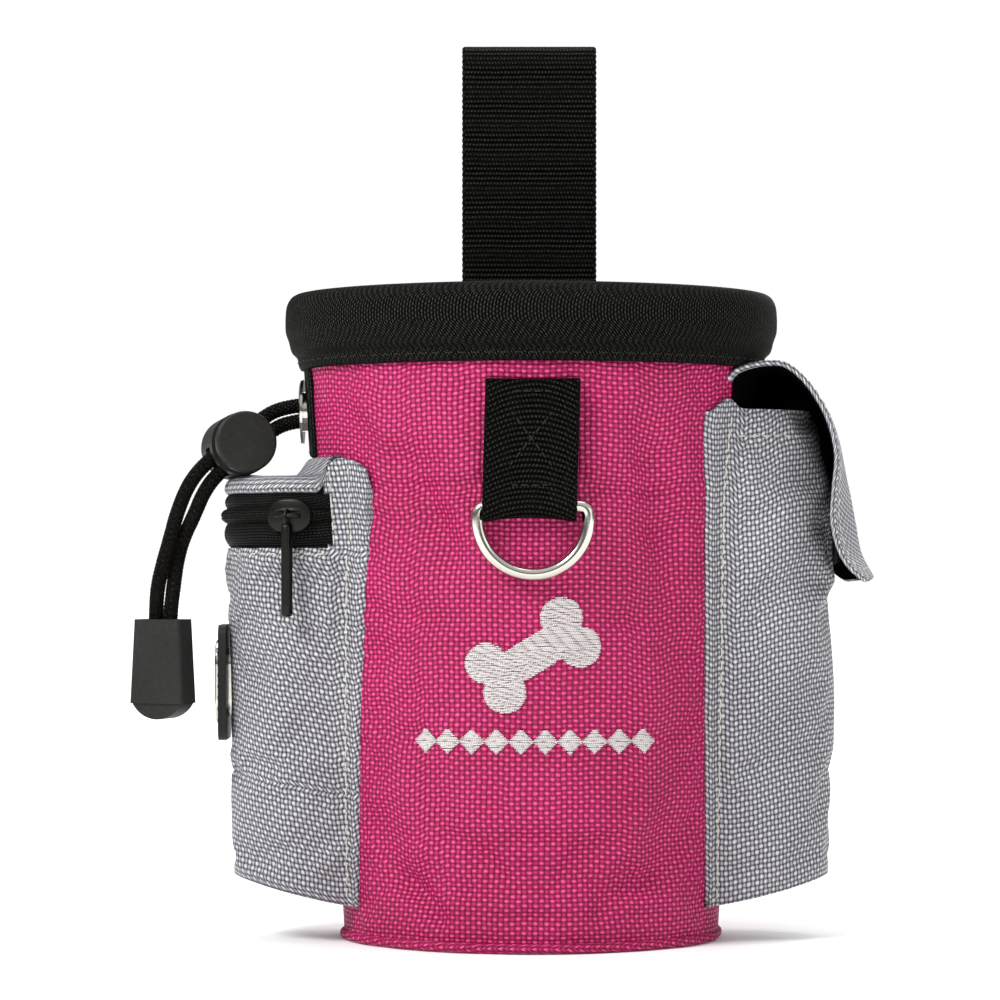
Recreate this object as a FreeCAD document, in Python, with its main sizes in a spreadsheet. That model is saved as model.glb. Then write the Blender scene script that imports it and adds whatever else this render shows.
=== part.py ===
"""Treat pouch for dog training: a round fabric pouch with a stiff bound mouth and a drawcord closure.

A zip pocket that dispenses bags sits on the left (-X), a pocket with a fold-over flap on the right (+X),
a D-ring on webbing at the front (-Y) and a webbing belt loop at the back (+Y).
Row frame: +Z up, origin at the centre of the base's underside. Units are millimetres and degrees.
"""

import FreeCAD, Part
import Sketcher
import math
import os

from FreeCAD import Placement, Rotation, Vector

DIMENSIONS = {
    # Plan of the pouch: a four-arc oval, at the height rim_low, and how it narrows to the base
    "end_centre": 18.5,
    "end_radius": 44.0,
    "side_radius": 67.5,
    "base_scale": 0.832,
    # Heights
    "base_thick": 2.0,
    "board_thick": 1.5,
    "rim_low": 158.0,
    "rim_lip": 4.0,
    "wall_top": 171.0,
    "rim_top": 179.0,
    # Fabric
    "shell_thick": 1.0,
    "lining_thick": 0.5,
    "ply_gap": 0.1,
    "base_welt": 0.8,
    # Rim binding and its hoop
    "rim_out": 4.5,
    "rim_in": 5.6,
    "lip_out": 2.0,
    "hoop_radius": 1.5,
    "hoop_height": 174.5,
    # Closure collar: a sheet that hangs from the rim and ends in a tunnel for the drawcord
    "collar_out": 2.6,
    "collar_thick": 0.5,
    "tunnel_low": 139.5,
    "tunnel_high": 153.8,
    "tunnel_wide": 8.0,
    # Drawcord and its eyelet
    "cord_radius": 2.0,
    "strand_offset": 2.15,
    "eyelet_height": 146.6,
    "eyelet_bore": 4.9,
    "eyelet_tube": 5.5,
    "eyelet_flange": 9.0,
    "eyelet_face": 64.6,
    "eyelet_back": 63.5,
    "patch_wide": 26.0,
    "patch_tall": 26.0,
    # Cord lock
    "lock_x": -81.4,
    "lock_y": -7.0,
    "lock_z": 136.9,
    "lock_turn": 18.0,
    "lock_rise": 5.0,
    "lock_slope": 40.0,
    "barrel_radius": 8.7,
    "barrel_bore": 7.3,
    "barrel_low": -9.6,
    "barrel_floor": -8.3,
    "barrel_top": 5.0,
    "slot_half": 4.8,
    "stem_radius": 7.1,
    "stem_low": -3.4,
    "head_low": 8.3,
    "head_top": 10.7,
    "head_radius": 8.5,
    "spring_radius": 5.0,
    "spring_wire": 0.4,
    # Cord end
    "end_x": -101.2,
    "end_y": -17.6,
    "end_top": 89.0,
    "end_turn": -21.0,
    "end_tall": 23.0,
    "end_dome": 4.4,
    "end_wide_top": 14.0,
    "end_wide_low": 16.2,
    "end_deep_top": 8.2,
    "end_deep_low": 9.0,
    "end_hollow_wide": 10.4,
    "end_hollow_deep": 5.6,
    "end_mouth": 6.0,
    "end_seam_radius": 10.4,
    "end_seam_height": 3.0,
    # Side pockets: a half round at the top, a half ellipse at the foot
    "pocket_x": 56.6,
    "pocket_radius": 28.0,
    "pocket_thick": 1.2,
    "pocket_low": 10.0,
    "foot_x": 56.0,
    "foot_long": 26.8,
    "foot_wide": 19.0,
    "floor_thick": 1.2,
    "envelope_gap": 0.15,
    # Zip pocket
    "zip_bend": 104.0,
    "zip_low": 108.5,
    "zip_high": 122.8,
    "zip_end_x": 54.8,
    "skirt_top": 124.5,
    "lid_rise": 6.0,
    "zip_middle": 117.2,
    "zip_split": 1.0,
    "coil_tall": 2.2,
    "coil_out": 27.6,
    "tape_out": 26.6,
    "tape_in": 26.0,
    "tape_reach": 6.0,
    "slider_from": 18.0,
    "slider_width": 20.5,
    "slider_tall": 9.5,
    "slider_plate": 1.3,
    "slider_gap": 0.35,
    "post_tall": 0.6,
    "bail_out": 32.1,
    "bail_thick": 1.1,
    "bail_half": 0.9,
    "puller_head": 1.8,
    "puller_eye": 1.25,
    "puller_long": 28.0,
    "puller_thick": 2.2,
    "puller_in": 29.5,
    "puller_out": 33.6,
    # Bag dispenser
    "dispenser_z": 71.2,
    "plate_wide": 20.0,
    "plate_tall": 32.0,
    "plate_thick": 2.2,
    "plate_back": 84.6,
    "slot_wide": 8.0,
    "slot_tall": 18.0,
    "ring_flange": 2.7,
    "ring_thick": 1.2,
    # Flap pocket
    "mouth_z": 145.5,
    "shoulder_z": 122.0,
    "mouth_x": 52.0,
    "mouth_radius": 26.0,
    "flap_half": 27.0,
    "flap_hinge_x": 68.6,
    "flap_hinge_z": 158.2,
    "flap_thick": 1.0,
    "flap_lining": 0.6,
    "hook_thick": 0.8,
    "tape_half": 7.0,
    # Front webbing and D-ring
    "webbing_half": 12.5,
    "webbing_top": 153.0,
    "webbing_ply": 1.5,
    "bar_z": 119.5,
    "ring_wire": 1.7,
    "ring_corner": 2.5,
    "ring_arc": 14.6,
    "ring_drop": 3.4,
    # Belt loop
    "belt_half": 20.0,
    "belt_ply": 1.8,
    "belt_gap": 6.0,
    "belt_face": 59.4,
    "belt_low": 128.0,
    "belt_seam": 156.4,
    "belt_hinge": 157.4,
    "belt_top": 258.6,
    # Embroidery
    "motif_z": 80.0,
    "motif_long": 20.0,
    "motif_shaft": 4.6,
    "motif_knob": 5.4,
    "motif_spread": 4.6,
    "motif_turn": 32.0,
    "thread_thick": 0.6,
    "border_z": 57.0,
    "border_pitch": 6.4,
    "border_size": 2.3,
}
BORDER_COUNT = 10
STRAND_UPPER = [
    (-59.4, 0.0, 148.75), (-69.2, -1.0, 148.4), (-77.1, -5.0, 143.1), (-89.5, -10.0, 132.7),
    (-94.4, -12.6, 126.7), (-97.6, -14.7, 118.4), (-99.1, -17.6, 111.4), (-101.1, -18.4, 104.3),
    (-102.8, -17.7, 97.2), (-103.2, -16.8, 89.6), (-103.2, -16.8, 83.0),
]
STRAND_LOWER = [
    (-59.4, 0.0, 144.45), (-67.6, -0.9, 144.1), (-74.1, -4.3, 140.0), (-86.6, -9.3, 129.5),
    (-90.4, -12.0, 124.2), (-93.0, -14.1, 117.4), (-96.1, -14.1, 111.0), (-97.7, -15.4, 104.3),
    (-98.4, -17.3, 97.2), (-99.2, -18.4, 89.6), (-99.2, -18.4, 83.0),
]
TUNNEL_ENTRY = [(-59.4, 0.0), (-54.9, -0.4), (-52.4, -3.7)]
TUNNEL_CORNERS = 20
FLAP_PROFILE = [
    (68.6, 158.2), (73.6, 155.4), (78.2, 150.6), (82.2, 143.8), (85.6, 134.6), (88.0, 124.7),
    (89.4, 116.0), (90.8, 107.0), (94.4, 99.8),
]
UNSOUND = ("Invalid", "Error")

doc = FreeCAD.newDocument("treat_pouch")
sheet = doc.addObject("Spreadsheet::Sheet", "Dims")
for row, (alias, size) in enumerate(DIMENSIONS.items(), start=1):
    sheet.set(f"A{row}", str(size))
    sheet.setAlias(f"A{row}", alias)
doc.recompute()
subparts = []


# ---------------------------------------------------------------- expressions and small helpers


def dim(name):
    """The expression for one cell of the sheet."""
    return f"Dims.{name}"


def value(expression):
    """What an expression over the sheet comes to, as a plain number."""
    return float(sheet.evalExpression(expression))


def bind(thing, **expressions):
    """Ties properties of an object to expressions; a double underscore stands for a dot."""
    for name, expression in expressions.items():
        thing.setExpression(name.replace("__", "."), expression)
    return thing


def node(thing, label):
    """Marks an object as a sub-part that is written to its own file."""
    thing.Label = label
    subparts.append(thing)
    return thing


def made(kind, name, **expressions):
    """A new document object with its properties tied to expressions."""
    return bind(doc.addObject(kind, name), **expressions)


def boolean(kind, name, base, tool):
    """A Part cut or common of two objects."""
    result = doc.addObject(f"Part::{kind}", name)
    result.Base, result.Tool = base, tool
    return result


def cut(name, base, *tools):
    for count, tool in enumerate(tools, start=1):
        base = boolean("Cut", f"{name}_{count}", base, tool)
    return base


def fused(name, *pieces):
    result = doc.addObject("Part::MultiFuse", name)
    result.Shapes = list(pieces)
    return result


def level(height):
    """How much the pouch's plan is scaled at a height."""
    return f"(Dims.base_scale + (1 - Dims.base_scale) * ({height}) / Dims.rim_low)"


def half_width(height):
    return f"((Dims.end_centre + Dims.end_radius) * {level(height)})"


def half_depth(height):
    inner = "sqrt((Dims.side_radius - Dims.end_radius)^2 - Dims.end_centre^2)"
    return f"((Dims.side_radius - {inner}) * {level(height)})"


# ---------------------------------------------------------------- sketches


def oval_sketch(name, height, grow):
    """A four-arc oval at a height, grown outward from the pouch's outer surface by a distance."""
    centre = f"Dims.end_centre * {level(height)}"
    end = f"Dims.end_radius * {level(height)} + ({grow})"
    side = f"Dims.side_radius * {level(height)} + ({grow})"
    c, r, big = value(centre), value(end), value(side)
    back = math.sqrt((big - r) ** 2 - c**2)
    turn = math.atan2(back, c)
    up = Vector(0, 0, 1)
    arcs = [
        (Vector(c, 0, 0), r, -turn, turn),
        (Vector(0, -back, 0), big, turn, math.pi - turn),
        (Vector(-c, 0, 0), r, math.pi - turn, math.pi + turn),
        (Vector(0, back, 0), big, math.pi + turn, 2 * math.pi - turn),
    ]
    sketch = made("Sketcher::SketchObject", name, Placement__Base__z=str(height))
    for middle, radius, start, stop in arcs:
        sketch.addGeometry(Part.ArcOfCircle(Part.Circle(middle, up, radius), start, stop), False)
    Constraint = Sketcher.Constraint
    for k in range(4):
        sketch.addConstraint(Constraint("Tangent", k, 2, (k + 1) % 4, 1))
    sketch.addConstraint(Constraint("PointOnObject", 0, 3, -1))
    sketch.addConstraint(Constraint("Symmetric", 0, 3, 2, 3, -1, 1))
    sketch.addConstraint(Constraint("Equal", 0, 2))
    sketch.addConstraint(Constraint("Equal", 1, 3))
    for label, constraint, expression in (
        ("centre", Constraint("DistanceX", -1, 1, 0, 3, c), centre),
        ("end", Constraint("Radius", 0, r), end),
        ("side", Constraint("Radius", 1, big), side),
    ):
        index = sketch.addConstraint(constraint)
        sketch.renameConstraint(index, label)
        sketch.setExpression(f"Constraints.{label}", expression)
    return sketch


def pin_point(sketch, edge, corner, x, y):
    """Ties one point of a sketch's edge to two expressions."""
    for kind, letter, expression in (("DistanceX", "x", x), ("DistanceY", "y", y)):
        index = sketch.addConstraint(
            Sketcher.Constraint(kind, -1, 1, edge, corner, value(expression))
        )
        label = f"{letter}{edge}"
        sketch.renameConstraint(index, label)
        sketch.setExpression(f"Constraints.{label}", expression)


def add_polygon(sketch, points):
    """A closed polygon whose corners are pairs of expressions."""
    first = sketch.GeometryCount
    spots = [Vector(value(x), value(y), 0) for x, y in points]
    total = len(points)
    for k in range(total):
        sketch.addGeometry(Part.LineSegment(spots[k], spots[(k + 1) % total]), False)
    for k in range(total):
        edge, following = first + k, first + (k + 1) % total
        sketch.addConstraint(Sketcher.Constraint("Coincident", edge, 2, following, 1))
    for k, (x, y) in enumerate(points):
        pin_point(sketch, first + k, 1, x, y)
    return sketch


def add_rectangle(sketch, x0, y0, x1, y1):
    return add_polygon(sketch, [(x0, y0), (x1, y0), (x1, y1), (x0, y1)])


def add_circle(sketch, x, y, radius):
    """A circle whose middle and radius are expressions."""
    edge = sketch.GeometryCount
    spot = Vector(value(x), value(y), 0)
    sketch.addGeometry(Part.Circle(spot, Vector(0, 0, 1), value(radius)), False)
    pin_point(sketch, edge, 3, x, y)
    index = sketch.addConstraint(Sketcher.Constraint("Radius", edge, value(radius)))
    sketch.renameConstraint(index, f"r{edge}")
    sketch.setExpression(f"Constraints.r{edge}", radius)
    return sketch


# ---------------------------------------------------------------- PartDesign helpers


def new_body(name):
    return doc.addObject("PartDesign::Body", name)


def body_sketch(body, name, plane="XY_Plane", offset="0"):
    """A sketch on one of a body's own origin planes, moved along that plane's normal."""
    sketch = body.newObject("Sketcher::SketchObject", f"{body.Name}_{name}")
    origin = next(f for f in body.Origin.OriginFeatures if f.Role == plane)
    sketch.AttachmentSupport = [(origin, "")]
    sketch.MapMode = "FlatFace"
    return bind(sketch, AttachmentOffset__Base__z=offset)


def feature(body, kind, name, sketch, **expressions):
    """A sketch-based feature, such as a Pad or Pocket, added to a body."""
    result = body.newObject(f"PartDesign::{kind}", f"{body.Name}_{name}")
    result.Profile = sketch
    return bind(result, **expressions)


def pad(body, name, sketch, length, midplane=False):
    result = feature(body, "Pad", name, sketch, Length=length)
    result.Midplane = midplane
    sketch.Visibility = False
    return result


def pocket(body, name, sketch, length, midplane=False, reverse=False):
    """A Pocket, checked to take material away."""
    doc.recompute()
    before = body.Shape.Volume
    result = feature(body, "Pocket", name, sketch, Length=length)
    result.Midplane, result.Reversed = midplane, reverse
    doc.recompute()
    if body.Shape.Volume > before - 0.01:
        raise RuntimeError(f"{result.Name} cuts nothing")
    return result


def round_edges(body, name, radius, wanted):
    """A Fillet on the edges of a body that a test picks out."""
    doc.recompute()
    base = body.Tip
    names = [f"Edge{k}" for k, edge in enumerate(base.Shape.Edges, start=1) if wanted(edge)]
    result = body.newObject("PartDesign::Fillet", f"{body.Name}_{name}")
    result.Base = (base, names)
    bind(result, Radius=radius)
    doc.recompute()
    return result


def at_height(z, slack=0.01):
    """A test for edges that lie flat at one height of a body's own frame."""
    return lambda edge: abs(edge.BoundBox.ZMin - z) < slack and abs(edge.BoundBox.ZMax - z) < slack


# ---------------------------------------------------------------- ovals as solids


def oval_block(name, low, high, grow, grow_high=None):
    """The pouch's tapered plan as a solid between two heights."""
    top = grow if grow_high is None else grow_high
    sections = [oval_sketch(f"{name}_low", low, grow), oval_sketch(f"{name}_high", high, top)]
    result = doc.addObject("Part::Loft", name)
    result.Sections, result.Solid, result.Ruled = sections, True, True
    return result


def oval_ring(name, low, high, outer, inner):
    """A tapered oval wall, from one growth outward to another inward."""
    return cut(
        name,
        oval_block(f"{name}_outer", low, high, outer),
        oval_block(f"{name}_inner", low, high, inner),
    )


def box(name, x, y, z):
    """A box between expression pairs."""
    return made(
        "Part::Box", name,
        Length=f"({x[1]}) - ({x[0]})", Width=f"({y[1]}) - ({y[0]})", Height=f"({z[1]}) - ({z[0]})",
        Placement__Base__x=x[0], Placement__Base__y=y[0], Placement__Base__z=z[0],
    )


def rod_along_x(name, x, z, radius):
    """A cylinder along X between two expressions, at a height."""
    result = made(
        "Part::Cylinder", name,
        Radius=radius, Height=f"({x[1]}) - ({x[0]})",
        Placement__Base__x=x[0], Placement__Base__z=z,
    )
    result.Placement.Rotation = Rotation(Vector(0, 1, 0), 90)
    return result


# ---------------------------------------------------------------- cords


def route_wire(points):
    """Straight runs joined by tangent arcs, each as large as its two runs allow."""
    spots = [Vector(*p) for p in points]
    edges, start, radii = [], spots[0], []
    for before, corner, after in zip(spots, spots[1:], spots[2:]):
        a, b = (before - corner), (after - corner)
        half_turn = (math.pi - a.getAngle(b)) / 2
        shorter = min(a.Length, b.Length)
        reach = 0.45 * shorter
        radii.append(reach / math.tan(half_turn))
        a.normalize()
        b.normalize()
        p, q = corner + a * reach, corner + b * reach
        out = a + b
        out.normalize()
        middle = corner + out * (radii[-1] / math.cos(half_turn) - radii[-1])
        edges += [Part.LineSegment(start, p).toShape(), Part.Arc(p, middle, q).toShape()]
        start = q
    edges.append(Part.LineSegment(start, spots[-1]).toShape())
    return Part.Wire(edges), radii


def cord_tube(label, points):
    """A round cord along a route, checked against its section times its length."""
    wire, radii = route_wire(points)
    radius = value(dim("cord_radius"))
    along = (Vector(*points[1]) - Vector(*points[0])).normalize()
    ring = Part.Wire([Part.makeCircle(radius, Vector(*points[0]), along)])
    solid = wire.makePipeShell([ring], True, False)
    expected = math.pi * radius**2 * wire.Length
    if abs(solid.Volume - expected) > 0.01 * expected:
        raise RuntimeError(f"{label} has the wrong volume")
    print(f"{label}: {wire.Length:.1f} mm long, radii {[round(r, 1) for r in radii]}")
    result = doc.addObject("Part::Feature", label)
    result.Shape = solid
    return node(result, label)


# ---------------------------------------------------------------- the pouch itself


def eyelet_hole():
    """A rod that clears the eyelet's tube through every ply of the left side."""
    return rod_along_x(
        "eyelet_hole", ("-Dims.eyelet_face - 4", "-Dims.eyelet_face + 9"), dim("eyelet_height"),
        "Dims.eyelet_tube + 0.1",
    )


def outer_shell(hole):
    wall = oval_ring("shell", dim("base_thick"), dim("wall_top"), "0", "-Dims.shell_thick")
    return node(cut("shell_bored", wall, hole), "outer_shell")


def base_panel():
    sections = oval_block("base_block", "0", dim("base_thick"), dim("base_welt"))
    return node(sections, "base_panel")


def base_board():
    high = "Dims.base_thick + Dims.board_thick"
    grow = "-Dims.shell_thick - Dims.ply_gap"
    return node(oval_block("board", dim("base_thick"), high, grow), "base_stiffener")


def lining(hole):
    low = "Dims.base_thick + Dims.board_thick"
    outer = "-Dims.shell_thick - Dims.ply_gap"
    inner = f"{outer} - Dims.lining_thick"
    cup = cut(
        "lining",
        oval_block("lining_outer", low, dim("wall_top"), outer),
        oval_block("lining_inner", f"{low} + Dims.lining_thick", "Dims.wall_top + 1", inner),
        hole,
    )
    return node(cup, "lining")


def closure_collar(hole):
    low, high = dim("tunnel_low"), dim("tunnel_high")
    out, ply = "-Dims.collar_out", dim("collar_thick")
    sheet_ring = oval_ring("collar_sheet", low, dim("wall_top"), out, f"{out} - {ply}")
    deep = f"{out} - 2 * {ply} - Dims.tunnel_wide"
    tunnel = oval_ring("tunnel", low, high, f"{out} - {ply} / 2", deep)
    hollow = oval_ring(
        "hollow", f"{low} + {ply}", f"{high} - {ply}", f"{out} - {ply}", f"{deep} + {ply}"
    )
    return node(cut("collar", fused("collar_whole", sheet_ring, tunnel), hollow, hole), "closure_collar")


def drawcord_loop():
    """The drawcord's run round the tunnel, rising from its lower end to its upper one."""
    inward = value("-Dims.collar_out - Dims.collar_thick - Dims.tunnel_wide / 2")
    middle = value(dim("eyelet_height"))
    offset = value(dim("strand_offset"))
    wide = value(half_width(dim("eyelet_height"))) + inward
    deep = value(half_depth(dim("eyelet_height"))) + inward
    route = [(x, y, middle - offset) for x, y in TUNNEL_ENTRY]
    for k in range(TUNNEL_CORNERS):
        share = (k + 0.8) / (TUNNEL_CORNERS + 0.6)
        angle = math.pi + 2 * math.pi * share
        height = middle - offset + 2 * offset * share
        route.append((wide * math.cos(angle), deep * math.sin(angle), height))
    route += [(x, -y, middle + offset) for x, y in TUNNEL_ENTRY[::-1]]
    return cord_tube("drawcord_loop", route)


def rim_binding(hoop_void):
    lip = "Dims.rim_low + Dims.rim_lip"
    roll = oval_block("rim_roll", lip, dim("rim_top"), dim("rim_out"))
    lip_block = oval_block("rim_lip", dim("rim_low"), lip, dim("lip_out"))
    mouth = oval_block("rim_mouth", "Dims.rim_low - 1", "Dims.rim_top + 1", "-Dims.rim_in")
    inside = "-Dims.collar_out - Dims.collar_thick - Dims.ply_gap"
    slot = oval_ring(
        "rim_slot", "Dims.rim_low - 1", "Dims.wall_top + 0.2", dim("ply_gap"), inside
    )
    whole = cut("rim", fused("rim_whole", roll, lip_block), mouth, slot, hoop_void)
    doc.recompute()
    top, low = value(dim("rim_top")), value(lip)
    wide = value(f"{half_width(lip)} + Dims.rim_out")
    deep = value(f"{half_depth(lip)} + Dims.rim_out")

    def outermost(edge):
        """Whether the edge's far side is on the outside of the roll."""
        bounds = edge.BoundBox
        across = max(abs(bounds.XMin), abs(bounds.XMax))
        through = max(abs(bounds.YMin), abs(bounds.YMax))
        return abs(across - wide) < 0.1 or abs(through - deep) < 0.1

    rounded = doc.addObject("Part::Fillet", "rim_rounded")
    rounded.Base = whole
    edges = list(enumerate(whole.Shape.Edges, start=1))
    rounded.Edges = [(k, 3.6, 3.6) for k, e in edges if at_height(top)(e)] + [
        (k, 1.6, 1.6) for k, e in edges if at_height(low)(e) and outermost(e)
    ]
    whole.Visibility = False
    return node(rounded, "rim_binding")


def hoop_ring(name, radius):
    """A round-section ring that follows the rim, as four tangent torus arcs."""
    height = dim("hoop_height")
    spine = oval_sketch(f"{name}_spine", height, "-0.5")
    doc.recompute()
    sweep = doc.addObject("Part::Sweep", name)
    start = spine.Shape.Edges[0].Vertexes[0].Point
    along = spine.Shape.Edges[0].tangentAt(spine.Shape.Edges[0].FirstParameter)
    section = made("Part::Circle", f"{name}_section", Radius=radius)
    section.Placement = Placement(start, Rotation(Vector(0, 0, 1), along))
    sweep.Sections, sweep.Spine = [section], (spine, [f"Edge{k}" for k in range(1, 5)])
    sweep.Solid, sweep.Frenet = True, False
    return sweep


def eyelet_parts():
    """The drawcord's exit on the left: a reinforcing patch, a metal eyelet and its washer."""
    middle = dim("eyelet_height")
    window = box(
        "patch_window", ("-80", "-40"), ("-Dims.patch_wide / 2", "Dims.patch_wide / 2"),
        (f"{middle} - Dims.patch_tall / 2", "Dims.rim_low - 0.2"),
    )
    layer = oval_ring("patch_skin", f"{middle} - 16", "Dims.rim_low", "0.95", "0.05")
    patch = boolean("Common", "patch_common", layer, window)
    hole = rod_along_x("patch_hole", ("-80", "-40"), middle, "Dims.eyelet_tube + 0.1")
    node(cut("patch", patch, hole), "eyelet_patch")

    body = new_body("eyelet_body")
    face, back = "-Dims.eyelet_face", "-Dims.eyelet_back"
    inside = "-Dims.eyelet_face + 4.7"
    sketch = body_sketch(body, "profile", "XZ_Plane")
    add_polygon(sketch, [
        (face, "Dims.eyelet_bore + 0.3"), (f"{face} + 0.3", dim("eyelet_bore")),
        (inside, dim("eyelet_bore")), (inside, dim("eyelet_tube")), (back, dim("eyelet_tube")),
        (back, dim("eyelet_flange")), (f"{face} + 0.4", dim("eyelet_flange")),
        (face, "Dims.eyelet_flange - 1.0"),
    ])
    turned = body.newObject("PartDesign::Revolution", "eyelet_turned")
    turned.Profile = sketch
    turned.ReferenceAxis = (sketch, ["H_Axis"])
    turned.Angle = 360
    body.Placement.Base = Vector(0, 0, value(middle))
    node(body, "cord_eyelet")

    under = "-Dims.shell_thick - Dims.ply_gap - Dims.lining_thick"
    layer = oval_ring(
        "washer_skin", f"{middle} - 12", f"{middle} + 10", f"{under} - 0.1", f"{under} - 0.6"
    )
    disc = cut(
        "washer_disc",
        rod_along_x("washer_rod", ("-70", "-50"), middle, "Dims.eyelet_flange - 1"),
        rod_along_x("washer_bore", ("-71", "-49"), middle, "Dims.eyelet_tube + 0.05"),
    )
    node(boolean("Common", "washer", layer, disc), "eyelet_washer")


# ---------------------------------------------------------------- cord lock and cord end


def lock_frame():
    """The cord lock's place: its own Z is the button's axis and its own X runs along the cord."""
    turn = math.radians(value(dim("lock_turn")))
    rise = math.radians(value(dim("lock_rise")))
    slope = math.radians(value(dim("lock_slope")))
    axis = Vector(
        math.sin(turn) * math.cos(rise), -math.cos(turn) * math.cos(rise), math.sin(rise)
    )
    across, down = -math.cos(slope), -math.sin(slope)
    toward = -(across * axis.x + down * axis.z) / axis.y
    along = Vector(across, toward, down).normalize()
    spot = Vector(*(value(dim(f"lock_{letter}")) for letter in "xyz"))
    return Placement(spot, Rotation(along, axis.cross(along), axis, "ZXY"))


def cord_lock(place):
    barrel = new_body("barrel_body")
    sketch = body_sketch(barrel, "round", offset=dim("barrel_low"))
    add_circle(sketch, "0", "0", dim("barrel_radius"))
    pad(barrel, "pad", sketch, "Dims.barrel_top - Dims.barrel_low")
    sketch = body_sketch(barrel, "bore", offset=dim("barrel_top"))
    add_circle(sketch, "0", "0", dim("barrel_bore"))
    pocket(barrel, "bore_cut", sketch, "Dims.barrel_top - Dims.barrel_floor")
    sketch = body_sketch(barrel, "slot", "YZ_Plane")
    add_rectangle(sketch, "-Dims.slot_half", "-2.6", dim("slot_half"), "2.4")
    pocket(barrel, "slot_cut", sketch, "30", midplane=True)
    round_edges(barrel, "foot", "2", at_height(value(dim("barrel_low"))))
    barrel.Placement = place
    node(barrel, "lock_barrel")

    plunger = new_body("plunger_body")
    sketch = body_sketch(plunger, "stem", offset=dim("stem_low"))
    add_circle(sketch, "0", "0", dim("stem_radius"))
    pad(plunger, "stem_pad", sketch, "Dims.head_low - Dims.stem_low")
    sketch = body_sketch(plunger, "head", offset=dim("head_low"))
    add_circle(sketch, "0", "0", dim("head_radius"))
    pad(plunger, "head_pad", sketch, "Dims.head_top - Dims.head_low")
    sketch = body_sketch(plunger, "slot", "YZ_Plane")
    add_rectangle(sketch, "-Dims.slot_half", "-2.3", dim("slot_half"), "5.9")
    pocket(plunger, "slot_cut", sketch, "30", midplane=True)
    round_edges(plunger, "rim", "0.8", at_height(value(dim("head_top"))))
    plunger.Placement = place
    node(plunger, "lock_plunger")

    spring = new_body("spring_body")
    sketch = body_sketch(spring, "wire", "XZ_Plane")
    low = "Dims.barrel_floor + Dims.spring_wire + 0.05"
    add_circle(sketch, dim("spring_radius"), low, dim("spring_wire"))
    coil = spring.newObject("PartDesign::AdditiveHelix", "spring_coil")
    coil.Profile = sketch
    coil.ReferenceAxis = (sketch, ["V_Axis"])
    coil.Mode = "height-turns-growth"
    coil.Turns = 3
    bind(coil, Height="Dims.stem_low - Dims.barrel_floor - 2 * Dims.spring_wire - 0.15")
    spring.Placement = place
    node(spring, "lock_spring")


def end_frame():
    """The cord end's place: its own origin is at the middle of its top face, its own X is its width."""
    spot = Vector(value(dim("end_x")), value(dim("end_y")), value(dim("end_top")))
    return Placement(spot, Rotation(Vector(0, 0, 1), value(dim("end_turn"))))


def end_section(body, name, offset, wide, deep):
    """One level of the cord end: a rectangle about its own axis."""
    sketch = body_sketch(body, name, offset=offset)
    return add_rectangle(
        sketch, f"-({wide}) / 2", f"-({deep}) / 2", f"({wide}) / 2", f"({deep}) / 2"
    )


def end_block(name):
    """The outside of the cord end: a tapered block on a domed foot."""
    body = new_body(name)
    low = "-Dims.end_tall"
    top = end_section(body, "top", "0", dim("end_wide_top"), dim("end_deep_top"))
    foot = end_section(body, "foot", low, dim("end_wide_low"), dim("end_deep_low"))
    taper = body.newObject("PartDesign::AdditiveLoft", f"{name}_taper")
    taper.Profile, taper.Sections, taper.Ruled = top, [foot], True
    sketch = body_sketch(body, "dome", "XZ_Plane")
    half, drop = value("Dims.end_wide_low / 2 - 0.7"), value(dim("end_dome"))
    high = -value(dim("end_tall"))
    left, right = Vector(-half, high, 0), Vector(half, high, 0)
    sketch.addGeometry(Part.Arc(left, Vector(0, high - drop, 0), right), False)
    sketch.addGeometry(Part.LineSegment(right, left), False)
    sketch.addConstraint(Sketcher.Constraint("Coincident", 0, 1, 1, 2))
    sketch.addConstraint(Sketcher.Constraint("Coincident", 0, 2, 1, 1))
    pin_point(sketch, 1, 1, "Dims.end_wide_low / 2 - 0.7", low)
    radius = (half**2 + drop**2) / (2 * drop)
    index = sketch.addConstraint(Sketcher.Constraint("Radius", 0, radius))
    sketch.renameConstraint(index, "dome")
    rise = "((Dims.end_wide_low / 2 - 0.7)^2 + Dims.end_dome^2) / (2 * Dims.end_dome)"
    sketch.setExpression("Constraints.dome", rise)
    sketch.addConstraint(Sketcher.Constraint("Symmetric", 1, 1, 1, 2, -2))
    pad(body, "dome_pad", sketch, "Dims.end_deep_low - 1.2", midplane=True)
    upright = lambda e: e.BoundBox.ZLength > 20
    round_edges(body, "corners", "1", upright)
    return body


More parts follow.
